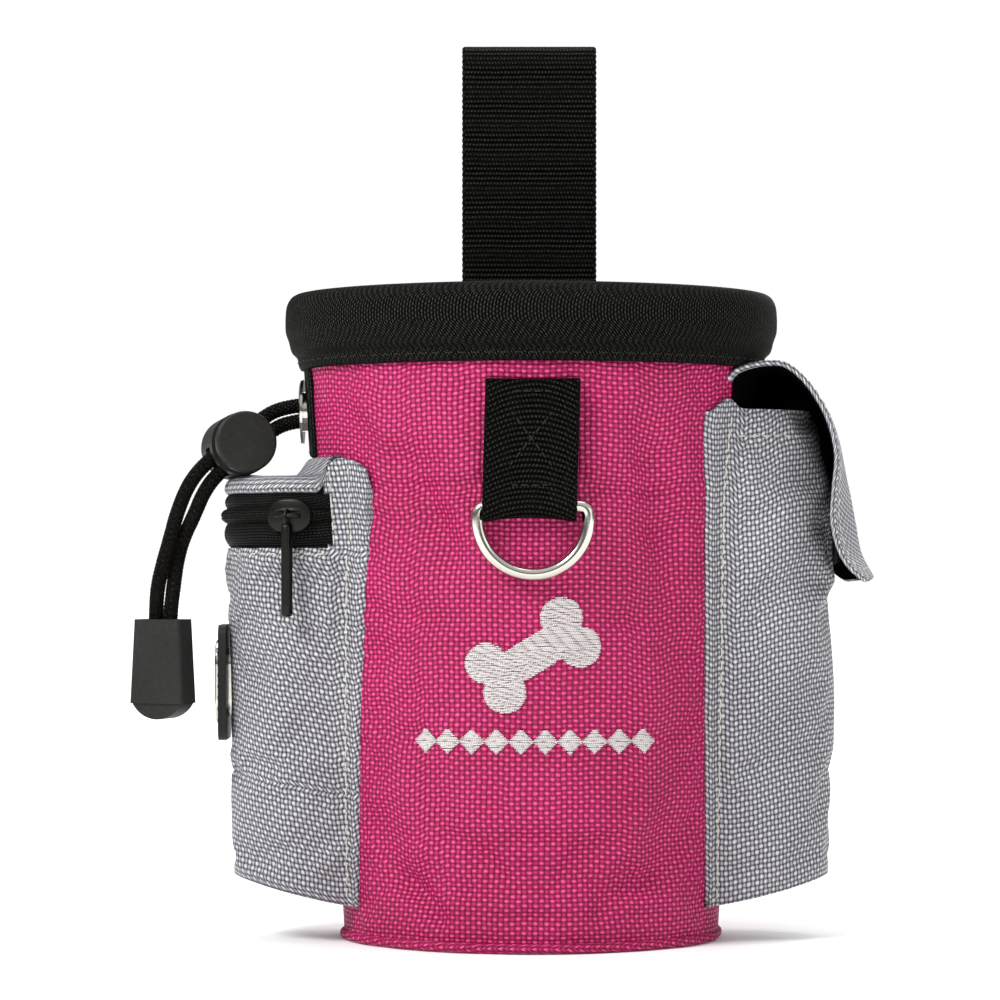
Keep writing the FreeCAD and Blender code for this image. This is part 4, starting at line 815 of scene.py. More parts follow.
for name, points, node, length in (
    ("cord_upper", STRAND_UPPER, "drawcord_tail_upper", 0.0907),
    ("cord_lower", STRAND_LOWER, "drawcord_tail_lower", 0.0838),
):
    line = route(points, 0.35)
    piece = finished(braided(name, line), CORD, stands_for=[node])
for node, look_of in (
    ("lock_barrel", CHARCOAL), ("lock_plunger", CHARCOAL), ("lock_spring", STEEL),
    ("cord_end_housing", CHARCOAL), ("cord_end_cap", CHARCOAL), ("cord_end_knot", CHARCOAL),
    ("cord_eyelet", NICKEL), ("eyelet_washer", NICKEL), ("dispenser_plate", PLATE_BLACK),
    ("dispenser_eyelet", NICKEL), ("base_stiffener", BOARD), ("rim_hoop", STEEL),
):
    keep(node, look_of)


# ---------------------------------------------------------------- the bag's own cloth

CLOTH_LOW, CLOTH_HIGH = 2.7, 166.0
s, z = lattice(circuit(132), np.linspace(CLOTH_LOW, CLOTH_HIGH, 48))
rest = around(s, z)[0]
held = (z < 6) | (z > 157) | (np.abs(rest[..., 0]) > 45.5)
held |= (rest[..., 1] < 0) & (np.abs(rest[..., 0]) < 11) & (z > 125) & (z < 150)
held |= (rest[..., 1] > 0) & (np.abs(rest[..., 0]) < 19) & (z > 128)
BODY = Swell(
    settled_cloth(rest, True, held, 2.5, 0.018, 1.5), (0, ROUND), (CLOTH_LOW, CLOTH_HIGH), True
)


FRONT_S = float(front_at(0.0, 100.0))
FOLD_DEPTH = 1.6
# Each fold: its two ends (mm from the front's middle, height), height outward, and half its width.
FOLDS = [
    (-54, 152, -36, 129, 1.1, 5.0), (-42, 138, -21, 101, -1.7, 5.5), (-30, 128, -14, 104, 0.7, 4.0),
    (17, 147, 30, 122, 0.8, 5.0), (29, 143, 44, 92, -1.5, 6.0), (38, 70, 30, 30, 0.8, 8.0),
    (-47, 21, -28, 6, -1.4, 3.2), (-40, 30, -22, 12, 0.7, 4.0), (17, 8, 45, 21, -1.1, 3.4),
    (-36, 60, -30, 26, -0.8, 7.0), (-8, 12, 10, 9, 0.5, 5.0),
]


def folded(s, z):
    """Soft folds and dents of the bag's front, and the puckers under its rim, in mm outward."""
    x = s - FRONT_S
    rise = 0.0
    for x0, z0, x1, z1, high, wide in FOLDS:
        along_x, along_z = x1 - x0, z1 - z0
        length = math.hypot(along_x, along_z)
        t = ((x - x0) * along_x + (z - z0) * along_z) / length**2
        off = ((x - x0) * along_z - (z - z0) * along_x) / length + 1.6 * np.sin(t * 3.0)
        beyond = np.maximum(np.abs(t - 0.5) - 0.3, 0) * length
        rise = rise + FOLD_DEPTH * high * np.exp(-((off / wide) ** 2) - (beyond / (1.4 * wide)) ** 2)
    rise = rise + 0.3 * np.sin(s / 2.9 + 0.8 * np.sin(s / 7.0)) * np.exp(-((156 - z) / 7.0) ** 2)
    return rise * ease(z, 3.5, 9.0) * ease(z, 157.5, 153.0)


def pouch(s, z, grow=0.0):
    """A point on the bag's cloth as it has settled, grow mm outside it."""
    place, out = around(s, z, grow)
    return place + out * (BODY(s, z) + folded(s, z))[..., None], out


def without(piece, test):
    """Takes out the faces whose middle, in mm, passes the test."""
    work = bmesh.new()
    work.from_mesh(piece.data)
    gone = [f for f in work.faces if test(f.calc_center_median() / MM)]
    bmesh.ops.delete(work, geom=gone, context="FACES")
    work.to_mesh(piece.data)
    work.free()
    return piece


EYELET_Z = 146.6


def at_eyelet(reach):
    """A test for what lies within reach of the eyelet's axis on the left."""
    return lambda at: at.x < -30 and math.hypot(at.y, at.z - EYELET_Z) < reach


s, z = lattice(circuit(360), np.linspace(CLOTH_LOW, CLOTH_HIGH, 132))
body_cloth = sheet("body_cloth", pouch(s, z)[0], closed=True, middle=180)
without(body_cloth, at_eyelet(6.4))
finished(body_cloth, PINK, stands_for=["outer_shell"])

ring = circuit(240)
welt = [(-2.6, 0.0), (-0.6, 0.0), (0.5, 0.2), (1.1, 0.8), (1.25, 1.5), (1.05, 2.2), (0.4, 2.8),
        (-0.4, 3.1), (-1.4, 3.2)]
rumple = 0.18 * np.sin(ring / 7.3) + 0.14 * np.sin(ring / 3.1 + 1.0)
rows = [around(ring, 0.0, -2.6)[0] * [q, q, 1] for q in (0.02, 0.2, 0.4, 0.6, 0.8, 0.93)]
rows += [around(ring, high, grow + rumple * (grow > 0))[0] for grow, high in welt]
base_cloth = sheet("base_cloth", np.stack(rows, 1), closed=True)
finished(base_cloth, PINK, stands_for=["base_panel"])

LINING_IN, LINING_LOW = -1.75, 4.2
s, z = lattice(circuit(200), np.linspace(LINING_LOW, 168.0, 60))
settled = np.minimum(BODY(s, z) + folded(s, z), 0.8)
wall, out = around(s, z, LINING_IN)
wall = wall + out * settled[..., None]
bottom = [around(s[:, 0], LINING_LOW, LINING_IN)[0] * [q, q, 1] - [0, 0, 0.25]
          for q in (0.02, 0.3, 0.6, 0.85, 0.97)]
lining_cloth = sheet("lining_cloth", np.concatenate([np.stack(bottom, 1), wall], 1), closed=True)
without(lining_cloth, at_eyelet(5.6))
finished(lining_cloth, BLACK_CLOTH, stands_for=["lining"])


# ---------------------------------------------------------------- rim and closure collar

def profile(points, count):
    """A smooth line through given points."""
    points = np.asarray(points, float)
    place = np.linspace(0, len(points) - 1, count * 4)
    line = sum(points[i] * w[:, None] for i, w in catmull(place, len(points), False))
    return spaced(line, count=count)


RIM = [
    (-1.3, 157.9), (-3.2, 157.8), (-5.0, 158.6), (-5.5, 161.0), (-5.6, 166.0), (-5.5, 171.0),
    (-4.9, 175.3), (-3.2, 178.1), (-0.6, 179.2), (2.0, 178.4), (3.9, 176.0), (4.6, 172.4),
    (4.75, 168.5), (4.5, 165.0), (3.9, 162.8), (2.9, 161.8), (2.45, 161.0), (2.35, 159.6),
    (2.0, 158.3), (1.1, 157.9), (0.3, 158.2),
]
section = profile(RIM, 22)
s, k = lattice(circuit(120), np.arange(22))
rest = around(s, section[k, 1], section[k, 0])[0]
held = (k < 3) | (k > 16)
ROLL = Swell(settled_cloth(rest, True, held, 3.0, 0.03, 0.55, bending=0.8), (0, ROUND), (0, 1), True)

section = profile(RIM, 64)
s, k = lattice(circuit(420), np.arange(64))
flat = around(s, section[k, 1], section[k, 0])[0]
facing = unit(np.cross(np.roll(flat, -1, 0) - np.roll(flat, 1, 0), np.gradient(flat, axis=1)))
rim_roll = sheet("rim_roll", flat + facing * ROLL(s, k / 63)[..., None], closed=True)
finished(rim_roll, BINDING, stands_for=["rim_binding"])

ring = np.linspace(0, ROUND, 500)
line, out = around(ring, 160.1, 2.42)
rim_stitches = stitches("rim_stitches", line, out, long=2.8, gap=1.0, radius=0.2)
finished(rim_stitches, BLACK_THREAD)

gather = np.random.default_rng(7)
waves = [(n, gather.uniform(0, 2 * math.pi), gather.uniform(0.5, 1.0)) for n in (23, 31, 44, 58)]


def gathers(s):
    """The closure collar's small folds, from -1 to 1 round the mouth."""
    turn = 2 * math.pi * s / ROUND
    return sum(size * np.sin(n * turn + phase) for n, phase, size in waves) / 2.2


COLLAR = [
    (-2.7, 169.0), (-2.8, 164.0), (-3.1, 159.0), (-3.6, 155.6), (-4.4, 154.3), (-7.0, 153.6),
    (-9.6, 151.6), (-10.9, 148.6), (-10.9, 145.0), (-9.6, 141.9), (-7.0, 140.1), (-4.6, 139.9),
    (-3.4, 141.0), (-3.0, 144.0),
]
section = profile(COLLAR, 46)
s, k = lattice(circuit(440), np.arange(46))
fold = ease(section[:, 1], 166, 154)[k] * 0.45 + ease(section[:, 0], -4.5, -8.5)[k] * 0.55
flat = around(s, section[k, 1] + 0.4 * fold * gathers(s + 9), section[k, 0] + fold * gathers(s))[0]
collar_cloth = sheet("collar_cloth", flat[:, ::-1], closed=True)
finished(collar_cloth, BLACK_CLOTH, stands_for=["closure_collar"])
line, out = around(ring, 155.1, -3.9)
collar_stitches = stitches("collar_stitches", line, -out, long=2.4, gap=0.9, radius=0.18)
finished(collar_stitches, BLACK_THREAD)

TUNNEL_ENTRY = [(-59.4, 0.0), (-54.9, -0.4), (-52.4, -3.7)]
TUNNEL_CORNERS = 20
turns = np.linspace(0.13, 0.97, TUNNEL_CORNERS - 2) * ROUND + ROUND / 4
loop = [(*p, EYELET_Z - 1.6) for p in TUNNEL_ENTRY]
loop += [tuple(around(t, EYELET_Z, -7.1)[0]) for t in turns]
cord_loop = braided("cord_loop", route(loop, 0.8))
finished(cord_loop, CORD, stands_for=["drawcord_loop"])


# ---------------------------------------------------------------- front tab, ring and belt strap

def front_depth(z):
    """How far the bag's front stands before its middle."""
    return (SIDE_R - SIDE_Y) * taper(z) + float(BODY(ROUND / 2, z))


def back_depth(z):
    """How far the bag's back stands behind its middle."""
    return (SIDE_R - SIDE_Y) * taper(z) + float(BODY(0, z))


def smoothed(line, passes=3):
    line = np.array(line, float)
    for _ in range(passes):
        line[1:-1] = (line[:-2] + 2 * line[1:-1] + line[2:]) / 4
    return line


PLY = 1.4
BAR_Y, BAR_Z, WIRE = -54.409, 119.5, 1.7
TAB_TOP, TAB_HALF = 153.0, 12.6
down = [(-front_depth(z) - 0.12 - PLY / 2, z) for z in np.linspace(TAB_TOP, 124.0, 12)]
swing = np.radians(np.linspace(10, -190, 15))
wrap = WIRE + 0.1 + PLY / 2
under = [(BAR_Y + wrap * math.cos(a), BAR_Z + wrap * math.sin(a)) for a in swing]
up = [(-front_depth(z) - 0.3 - 1.5 * PLY, z) for z in np.linspace(125.5, TAB_TOP, 12)]
path = smoothed(spaced([(0, y, z) for y, z in down + under + up], 0.21), 6)


def tab_lean(grid):
    """The tab hangs a little to the left at its lower end."""
    shift = np.zeros_like(grid)
    shift[..., 0] = -1.0 * np.clip((TAB_TOP - grid[..., 2]) / 36, 0, 1.1)
    return shift


front_tab = ribbon("front_tab", path, (1, 0, 0), TAB_HALF, PLY, pitch=1.48, rise=0.22, bend=-68.0,
                   lean=tab_lean)
finished(front_tab, WEBBING, stands_for=["ring_webbing"])


def box_x(name, half, low, high, face, **more):
    """A sewn square with a cross in it, on the surface that face(across, up) gives."""
    runs = [
        ((-half, low), (-half, high)), ((-half, high), (half, high)), ((half, high), (half, low)),
        ((half, low), (-half, low)), ((-half, low), (half, high)), ((-half, high), (half, low)),
    ]
    pieces = []
    for number, (start, end) in enumerate(runs):
        share = np.linspace(0, 1, 30)[:, None]
        at = np.array(start) * (1 - share) + np.array(end) * share
        line, out = face(at[:, 0], at[:, 1])
        pieces.append(stitches(f"{name}_{number}", line, out, **more))
    return joined(name, pieces)


def tab_face(x, z):
    depth = np.array([front_depth(v) for v in z]) + 0.3 + 2 * PLY + 0.05
    y = -depth + x * x / (2 * 68.0)
    return stack(x - 1.0 * (TAB_TOP - z) / 36, y, z), stack(x / 68, -1 + 0 * x, 0 * x)


tab_stitches = box_x("tab_stitches", 9.5, 125.0, 149.8, tab_face, long=2.1, gap=0.7, radius=0.26,
                     sink=0.05)
finished(tab_stitches, BLACK_THREAD)

RING_R, RING_DROP, RING_CORNER = 14.6, 3.4, 2.5
side = RING_R - RING_CORNER
bend = np.radians(np.linspace(90, 0, 9))
right = [(side + RING_CORNER * math.cos(a), BAR_Z - RING_CORNER + RING_CORNER * math.sin(a))
         for a in bend]
sweep = np.radians(np.linspace(0, -180, 49))
bow = [(RING_R * math.cos(a), BAR_Z - RING_DROP + RING_R * math.sin(a)) for a in sweep]
left = [(-x, z) for x, z in right[::-1]]
bar = [(x, BAR_Z) for x in np.linspace(-side, side, 12)[1:-1]]
line = spaced([(x, BAR_Y, z) for x, z in right + bow + left + bar + right[:1]], 0.6)[:-1]
ring_wire = tube("ring_wire", line, WIRE, around=24, side=(0, 1, 0), closed=True)
finished(ring_wire, NICKEL, body="ring", stands_for=["d_ring"])

STRAP_PLY, STRAP_HALF = 1.8, 20.0
near = [(back_depth(z) + 1.1, z) for z in np.linspace(128.0, 149.0, 8)]
near += [(54.7, 152.3), (57.2, 156.0), (59.4, 160.0), (60.3, 164.5), (60.3, 200.0), (60.3, 253.8)]
over = [(64.2 - 3.9 * math.cos(a), 253.8 + 3.9 * math.sin(a))
        for a in np.radians(np.linspace(10, 170, 12))]
far = [(68.1, 253.8), (68.1, 200.0), (68.0, 166.0), (66.6, 161.0), (62.2, 156.2), (57.6, 152.2)]
far += [(back_depth(z) + 1.3 + STRAP_PLY, z) for z in np.linspace(149.0, 128.0, 8)]
path = smoothed(spaced([(0, y, z) for y, z in near + over + far], 0.24), 60)
belt_strap = ribbon("belt_strap", path, (1, 0, 0), STRAP_HALF, STRAP_PLY, pitch=1.68, rise=0.26)
finished(belt_strap, WEBBING, body=None, stands_for=["belt_loop", "belt_loop_anchor"])
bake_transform(belt_strap)


def strap_face(x, z):
    depth = np.array([back_depth(v) for v in z]) + 1.3 + 1.5 * STRAP_PLY + 0.02
    return stack(x, depth, z), stack(0 * x, 1 + 0 * x, 0 * x)


strap_stitches = box_x("strap_stitches", 16.0, 130.5, 147.0, strap_face, long=2.4, gap=0.8,
                       radius=0.28, sink=0.05)
finished(strap_stitches, BLACK_THREAD)


# ---------------------------------------------------------------- side pockets

class Pocket:
    """A side pocket's wall: a half-round sleeve that stands on the bag, with a turned-out edge sewn
    to the bag. w runs anticlockwise from -1 to 1 between its two seams, and past them on the edges.
    levels are (height, middle, half width, depth) and edges (height, how far out the edge ends)."""

    EDGE = 0.11

    def __init__(self, side, levels, edges):
        self.side, self.levels, self.edges = side, np.array(levels, float), np.array(edges, float)
        self.heights = np.linspace(4, 165, 120)
        low, high = np.full(120, math.radians(50)), np.full(120, math.radians(165))
        for _ in range(40):
            middle = (low + high) / 2
            place = self.wall(middle, self.heights, 0.0)
            outside = locate(place[..., 0], place[..., 1], self.heights)[1] > 1.5
            low, high = np.where(outside, middle, low), np.where(outside, high, middle)
        self.ends = low

    def wall(self, angle, z, grow):
        """A point on the sleeve, angle from straight out and positive toward the front."""
        centre, wide, deep = (np.interp(z, self.levels[:, 0], self.levels[:, k]) for k in (1, 2, 3))
        x = self.side * (centre + (wide + grow) * np.cos(angle))
        return stack(x, -(deep + grow) * np.sin(angle), z)

    def __call__(self, w, z, grow=0.0):
        w, z = np.broadcast_arrays(np.asarray(w, float), np.asarray(z, float))
        end = np.interp(z, self.heights, self.ends)
        face = -self.side * np.sign(w)
        on_wall = self.wall(-self.side * np.clip(w, -1, 1) * end, z, grow)
        seam = self.wall(face * end, z, 0.0)
        start = locate(seam[..., 0], seam[..., 1], z)[0]
        x = np.interp(z, self.edges[:, 0], self.edges[:, 1])
        x = np.minimum(x, np.abs(seam[..., 0]) - 1.8)
        scale = taper(z)
        lean = np.arcsin(np.clip(x / (scale * SIDE_R), 0, 0.999))
        y = np.cos(lean) * scale * SIDE_R - scale * SIDE_Y
        finish = locate(self.side * x, -face * y, z)[0]
        share = np.clip((np.abs(w) - 1) / self.EDGE, 0, 1)
        rounding = np.sqrt(np.clip(1 - (np.clip(share - 0.82, 0, 1) / 0.18) ** 2, 0, 1))
        on_bag = pouch(start + (finish - start) * share, z, (1.5 + grow) * rounding + 0.05)[0]
        return np.where((np.abs(w) > 1)[..., None], on_bag, on_wall)

    def columns(self, count, edge_count):
        edge = np.linspace(1 + self.EDGE, 1, edge_count, endpoint=False)
        return np.concatenate([-edge, np.linspace(-1, 1, count), edge[::-1]])

    def soften(self, grid, w, reach=5, passes=8):
        """Rounds the inner corner where the sleeve meets its sewn edges."""
        near = np.minimum(np.abs(w - 1), np.abs(w + 1))
        step = abs(w[len(w) // 2 + 1] - w[len(w) // 2])
        share = ease(near, (reach + 2) * step, reach * step * 0.4)[:, None, None]
        for _ in range(passes):
            even = grid.copy()
            even[1:-1] = (grid[:-2] + 2 * grid[1:-1] + grid[2:]) / 4
            grid = grid + (even - grid) * share
        return grid


def foot_of(pocket, w):
    """The height of a pocket's lower edge, which rises toward its outer side."""
    x = np.abs(pocket(w, np.full(np.shape(w), 12.0))[..., 0])
    return 9.9 + 8.0 * np.clip((x - 47.5) / 36, 0, 1) ** 1.2


def outward(grid):
    return unit(np.cross(np.gradient(grid, axis=0), np.gradient(grid, axis=1)))


ZIP_LOW, ZIP_MIDDLE, ZIP_TOP = 108.5, 117.2, 123.6
ZIP = Pocket(
    -1, [(10, 56.0, 26.8, 19.0), (104, 56.6, 28.0, 28.0), (170, 56.6, 28.0, 28.0)],
    [(10, 47.2), (60, 46.6), (100, 44.8), (121, 42.6), (140, 42.6)],
)
OPEN = Pocket(
    1, [(10, 56.0, 26.8, 19.0), (122, 56.6, 28.0, 28.0), (145.5, 52.0, 26.0, 26.0),
        (170, 50.5, 25.0, 25.0)],
    [(10, 47.4), (60, 46.9), (120, 46.6), (140, 46.2), (150, 46.9)],
)


def pocket_swell(pocket, top, pressure, cap, hold):
    """Settles a coarse copy of a pocket's wall, held along its seams and edges."""
    w, share = lattice(pocket.columns(40, 3), np.linspace(0, 1, 34))
    foot = foot_of(pocket, w)
    rest = pocket(w, foot + (top - foot) * share)
    held = (np.abs(w) > 0.985) | (share < 0.02) | (share > 0.985) | hold(rest)
    moved = settled_cloth(rest, False, held, pressure, 0.03, cap)
    inner = slice(3, -3)
    return Swell(moved[inner], (-1, 1), (0, 1), False)


ZIP_SWELL = pocket_swell(
    ZIP, ZIP_LOW, 2.0, 1.3,
    lambda p: (p[..., 0] < -80) & (np.abs(p[..., 2] - 71) < 18) & (np.abs(p[..., 1]) < 12),
)
OPEN_TOP = 146.4
OPEN_SWELL = pocket_swell(
    OPEN, OPEN_TOP, 2.0, 1.3,
    lambda p: (p[..., 0] > 80) & (p[..., 2] > 102) & (p[..., 2] < 123) & (np.abs(p[..., 1]) < 9),
)


def stand_off(swell, w, share):
    """How far the settled wall stands out, nothing on its sewn edges."""
    return swell(np.clip(w, -1, 1), share) * ease(np.abs(w), 1.0, 0.9)


WALL_COLUMNS, EDGE_COLUMNS = 112, 9


def pocket_grid(pocket, swell, top_of, rows):
    """The wall's surface as it has settled; its lowest rows turn under."""
    w = pocket.columns(WALL_COLUMNS, EDGE_COLUMNS)
    under = np.array([(-2.2, 1.0), (-1.3, 0.35), (-0.5, 0.05)])
    share = np.concatenate([np.zeros(len(under)), np.linspace(0.003, 1, rows)])
    sink = np.concatenate([under[:, 0], np.zeros(rows)])
    lift = np.concatenate([under[:, 1], np.zeros(rows)])
    W, S = lattice(w, share)
    foot, top = foot_of(pocket, W), top_of(W)
    z = foot + (top - foot) * S + lift[None]
    grid = pocket.soften(pocket(W, z, sink[None]), w)
    return grid + outward(grid) * stand_off(swell, W, S)[..., None]


def pocket_base(name, pocket):
    """The cloth that closes a pocket at its foot, from the middle of its seam outward."""
    w = np.linspace(-0.99, 0.99, 60)
    foot = foot_of(pocket, w)
    edge = pocket(w, foot + 0.9, -1.6)
    root = np.stack([0 * w + pocket.side * np.abs(edge[0, 0]), edge[:, 1] * 0.9, 0 * w + 11.0], -1)
    share = np.linspace(0, 1, 16)[None, :, None]
    grid = root[:, None] * (1 - share) + edge[:, None] * share
    grid[..., 2] -= 0.9 * np.sin(np.pi * share[..., 0]) * np.cos(w * 1.4)[:, None]
    return sheet(name, grid)


def along_wall(pocket, swell, w, share, top, grow=0.0):
    """Points and outward directions on a settled wall."""
    w, share = np.broadcast_arrays(np.asarray(w, float), np.asarray(share, float))
    foot = foot_of(pocket, w)

    def place(w, share):
        return pocket(w, foot + (top - foot) * share, grow + stand_off(swell, w, share))

    here = place(w, share)
    beside, above = place(w + 0.004, share) - here, place(w, share + 0.004) - here
    return here, unit(np.cross(beside, above))


# ---------------------------------------------------------------- the zip pocket

zip_end = math.radians(91.5)
ZIP_JOIN = float(np.interp(115, ZIP.heights, ZIP.ends))
END_W = zip_end / ZIP_JOIN

lower = pocket_grid(ZIP, ZIP_SWELL, lambda w: 0 * w + ZIP_LOW, 80)
pieces = [sheet("zip_wall_lower", lower)]
wall_w = ZIP.columns(WALL_COLUMNS, EDGE_COLUMNS)
run_up = np.linalg.norm(np.diff(lower, axis=1), axis=2).sum(1)
weave_at = np.stack([lengths_along(lower[:, -1]), run_up], -1)

LID_ROOT = 133.4


def lifted(w):
    """How far the pocket's upper edge has risen to the lid's root, 0 to 1, near the zip's ends."""
    return ease(np.abs(w), END_W - 0.05, END_W + 0.07)


def corner_top(w):
    """The upper edge of the two fixed corners beside the zip: it rises to the lid's root and rounds
    down again over the sewn edge."""
    x = np.abs(ZIP(w, 0 * w + 121.0)[..., 0])
    fall = np.clip((53.5 - x) / 10.4, 0, 1)
    rise = (LID_ROOT - ZIP_TOP) * lifted(w)
    return ZIP_TOP + rise - 11.5 * (1 - np.sqrt(np.clip(1 - fall**2.2, 0, 1)))


for face in (-1, 1):
    w = wall_w[wall_w * face >= END_W]
    w = np.sort(np.concatenate([w, [face * END_W]]))
    W, S = lattice(w, np.linspace(0, 1, 14))
    z = ZIP_LOW + (corner_top(W) - ZIP_LOW) * S
    grid = ZIP.soften(ZIP(W, z), w) if len(w) > 8 else ZIP(W, z)
    match = np.array([int(np.argmin(np.abs(wall_w - v))) for v in w])
    grid[:, 0] = lower[match, -1]
    patch = sheet("zip_wall_corner", grid)
    shift = weave_at[match[0]]
    uv = np.empty(len(patch.data.loops) * 2)
    patch.data.uv_layers["weave"].data.foreach_get("uv", uv)
    patch.data.uv_layers["weave"].data.foreach_set("uv", (uv.reshape(-1, 2) + shift * MM).ravel())
    pieces.append(patch)
zip_wall = thickened(joined("zip_wall", pieces, weld=0.05), 1.1, rounded=0.4)
finished(zip_wall, GREY, stands_for=["zip_pocket_wall"])
finished(pocket_base("zip_base", ZIP), GREY,
         stands_for=["zip_pocket_floor"])

w, r = lattice(np.linspace(-0.99, 0.99, 130), np.linspace(0, 1, 44))
k = lifted(w)
level = 128.0 + 0.5 * np.sin(np.pi * np.clip(r / 0.3, 0, 1)) + 0.4 * ease(r, 0.3, 0.75)
level = level + (LID_ROOT - level) * ease(r, 0.74, 1.0) ** 1.5
level = level + 0.5 * np.sin(w * 7.0 + 0.6) * np.sin(np.pi * np.clip(r / 0.8, 0, 1))
level = level + (LID_ROOT - level) * k
corner = corner_top(w)
level = np.minimum(level, corner + (LID_ROOT - corner) * ease(r, 0.0, 0.5) + 20 * (1 - k))
edge = ZIP(w, 0 * w + 124.5, -1.3 + 0.8 * k)
root_y = np.clip(edge[..., 1] * 0.985, -END_R * 0.95, END_R * 0.95)
root_x = -end_curve(root_y) * 0.973 - 0.7
lid = stack(edge[..., 0] * (1 - r) + root_x * r, edge[..., 1] * (1 - r) + root_y * r, level)
# The lid's front edge turns down over the zip as a rounded brim, which fades where the lid is fixed.
brim_up = np.array([[-1.7, -1.2, -0.4, 0.7, 1.7, 2.5]])
brim_out = np.array([[0.2, 0.75, 1.05, 0.95, 0.5, -0.25]])
brim = ZIP(w[:, :6], level[:, :1] * k[:, :6] + (125.2 + brim_up) * (1 - k[:, :6]) - 0.1,
           brim_out * (1 - k[:, :6]) - 0.5 * k[:, :6])
lid_piece = thickened(sheet("zip_lid", np.concatenate([brim, lid], 1)), 0.8, even=False)
finished(lid_piece, GREY, stands_for=["zip_pocket_top"])

TAPE_BULGE = [
    (106.4, -1.6), (108.0, -1.2), (109.4, 0.0), (111.2, 0.95), (113.0, 1.1), (114.6, 0.7),
    (115.25, 0.25), (115.7, 0.9), (116.5, 1.75), (117.3, 2.0), (118.2, 1.85), (119.0, 1.25),
    (119.5, 0.4), (120.2, 0.75), (121.4, 1.0), (122.8, 0.4), (123.8, -0.6), (125.0, -1.5),
]
line = profile(TAPE_BULGE, 70)
w, k = lattice(np.linspace(-END_W - 0.03, END_W + 0.03, 620), np.arange(70))
z, out = line[k, 0], line[k, 1]
run = w * ZIP_JOIN * 29
calm = np.sqrt(np.clip(1 - np.abs(w / (END_W + 0.03)) ** 8, 0, 1))
ridge = ease(np.abs(z - ZIP_MIDDLE), 2.3, 1.4)
tooth = np.where(z > ZIP_MIDDLE, 0, math.pi / 2)
teeth = 0.16 * np.abs(np.sin(math.pi * run / 1.3 + tooth)) ** 0.6 * ridge
split = -0.35 * np.exp(-((z - ZIP_MIDDLE) / 0.16) ** 2)
rib = 0.05 * np.abs(np.sin(math.pi * z / 0.75)) * (1 - ridge)
zip_band = sheet("zip_band", ZIP(w, z, (out - 0.1) * calm + teeth + split + rib))
finished(zip_band, TAPE,
         stands_for=["zip_tape_lower", "zip_tape_upper", "zip_coil_lower", "zip_coil_upper"])


def rounded_slab(name, outline, thick, place, dish=0.0, dome=0.0):
    """A flat part with rounded edges: rings of its outline (mm, anticlockwise) run in over its edge.
    place(across, up, out) sets it in the bag's space; dish sinks a panel in its face and dome
    raises its middle."""
    outline = np.asarray(outline, float)
    middle = outline.mean(0)
    tangent = np.roll(outline, -1, 0) - np.roll(outline, 1, 0)
    normal = unit(np.stack([tangent[:, 1], -tangent[:, 0]], -1))
    r = min(thick / 2, 0.6)
    steps = [(-r, 0.0), (-0.35 * r, 0.15 * r), (0.0, r), (0.0, thick - r),
             (-0.35 * r, thick - 0.15 * r), (-r, thick)]
    if dish:
        steps += [(-r - 0.15, thick), (-r - 0.4, thick - dish)]
    layers = [np.concatenate([outline + normal * grow, np.full((len(outline), 1), out)], 1)
              for grow, out in steps]
    last = layers[-1]
    for share in np.linspace(0.8, 0.0, 5):
        ring = last.copy()
        ring[:, :2] = middle + (last[:, :2] - middle) * share
        ring[:, 2] += dome * (1 - share**2)
        layers.append(ring)
    bottom = layers[0].copy()
    bottom[:, :2] = middle + (bottom[:, :2] - middle) * 0.02
    grid = np.stack([bottom] + layers, 1)
    return sheet(name, place(grid[..., 0], grid[..., 1], grid[..., 2]), closed=True)


SLEEVE_X, SLIDER_R, SLIDER_ANGLE = 56.6, 29.4, math.radians(72)


def round_zip(radius, angle, up):
    """A spot round the zip pocket's middle, angle from straight out toward the front."""
    return stack(-SLEEVE_X - radius * np.cos(angle), -radius * np.sin(angle), ZIP_MIDDLE + up)


def on_slider(across, up, out):
    """From the slider's own axes: across toward the front, up, and out from the zip's face."""
    return round_zip(SLIDER_R + out, SLIDER_ANGLE + across / 30.5, up)


turn = np.linspace(0, 2 * math.pi, 56, endpoint=False)
shield = np.stack([np.cos(turn), np.sin(turn)], -1)
shield = np.sign(shield) * np.abs(shield) ** 0.85 * [6.3, 4.7]
slider_body = rounded_slab("slider_shield", shield, 1.7, on_slider, dome=0.35)
x = np.linspace(-3.4, 3.4, 15)
arch = 1.2 + 2.0 * np.sqrt(np.maximum(0.0, 1 - (x / 3.4) ** 2))
bridge = tube("slider_bridge", on_slider(x, 0, arch), 0.62, around=12)
crown = tube("slider_crown", on_slider(np.linspace(-4.6, 4.6, 9), 1.6, 1.6),
             np.array([0.2, 0.5, 0.7, 0.75, 0.75, 0.75, 0.7, 0.5, 0.2]), around=12)
slider = joined("slider", [slider_body, bridge, crown])
finished(slider, BLACK_METAL, body="zip_slider", stands_for=["zip_slider"])


def on_puller(across, up, out):
    """From the puller's own axes: it hangs edge-on below the bridge."""
    return round_zip(SLIDER_R + 2.2 + across, SLIDER_ANGLE + (out - 1.15) / 31.5, up)


def bar_outline(low, high, half, end):
    """A bar's outline, anticlockwise, with rounded ends end times as high as they are wide."""
    tall = half * end
    turn = np.linspace(0, math.pi, 9)
    top = [(half * math.cos(a), high - tall + tall * math.sin(a)) for a in turn]
    foot = [(half * math.cos(a), low + tall + tall * math.sin(a)) for a in turn + math.pi]
    left = [(-half, v) for v in np.linspace(high - half, low + half, 14)[1:-1]]
    right = [(half, v) for v in np.linspace(low + half, high - half, 14)[1:-1]]
    return np.array(top + left + foot + right)


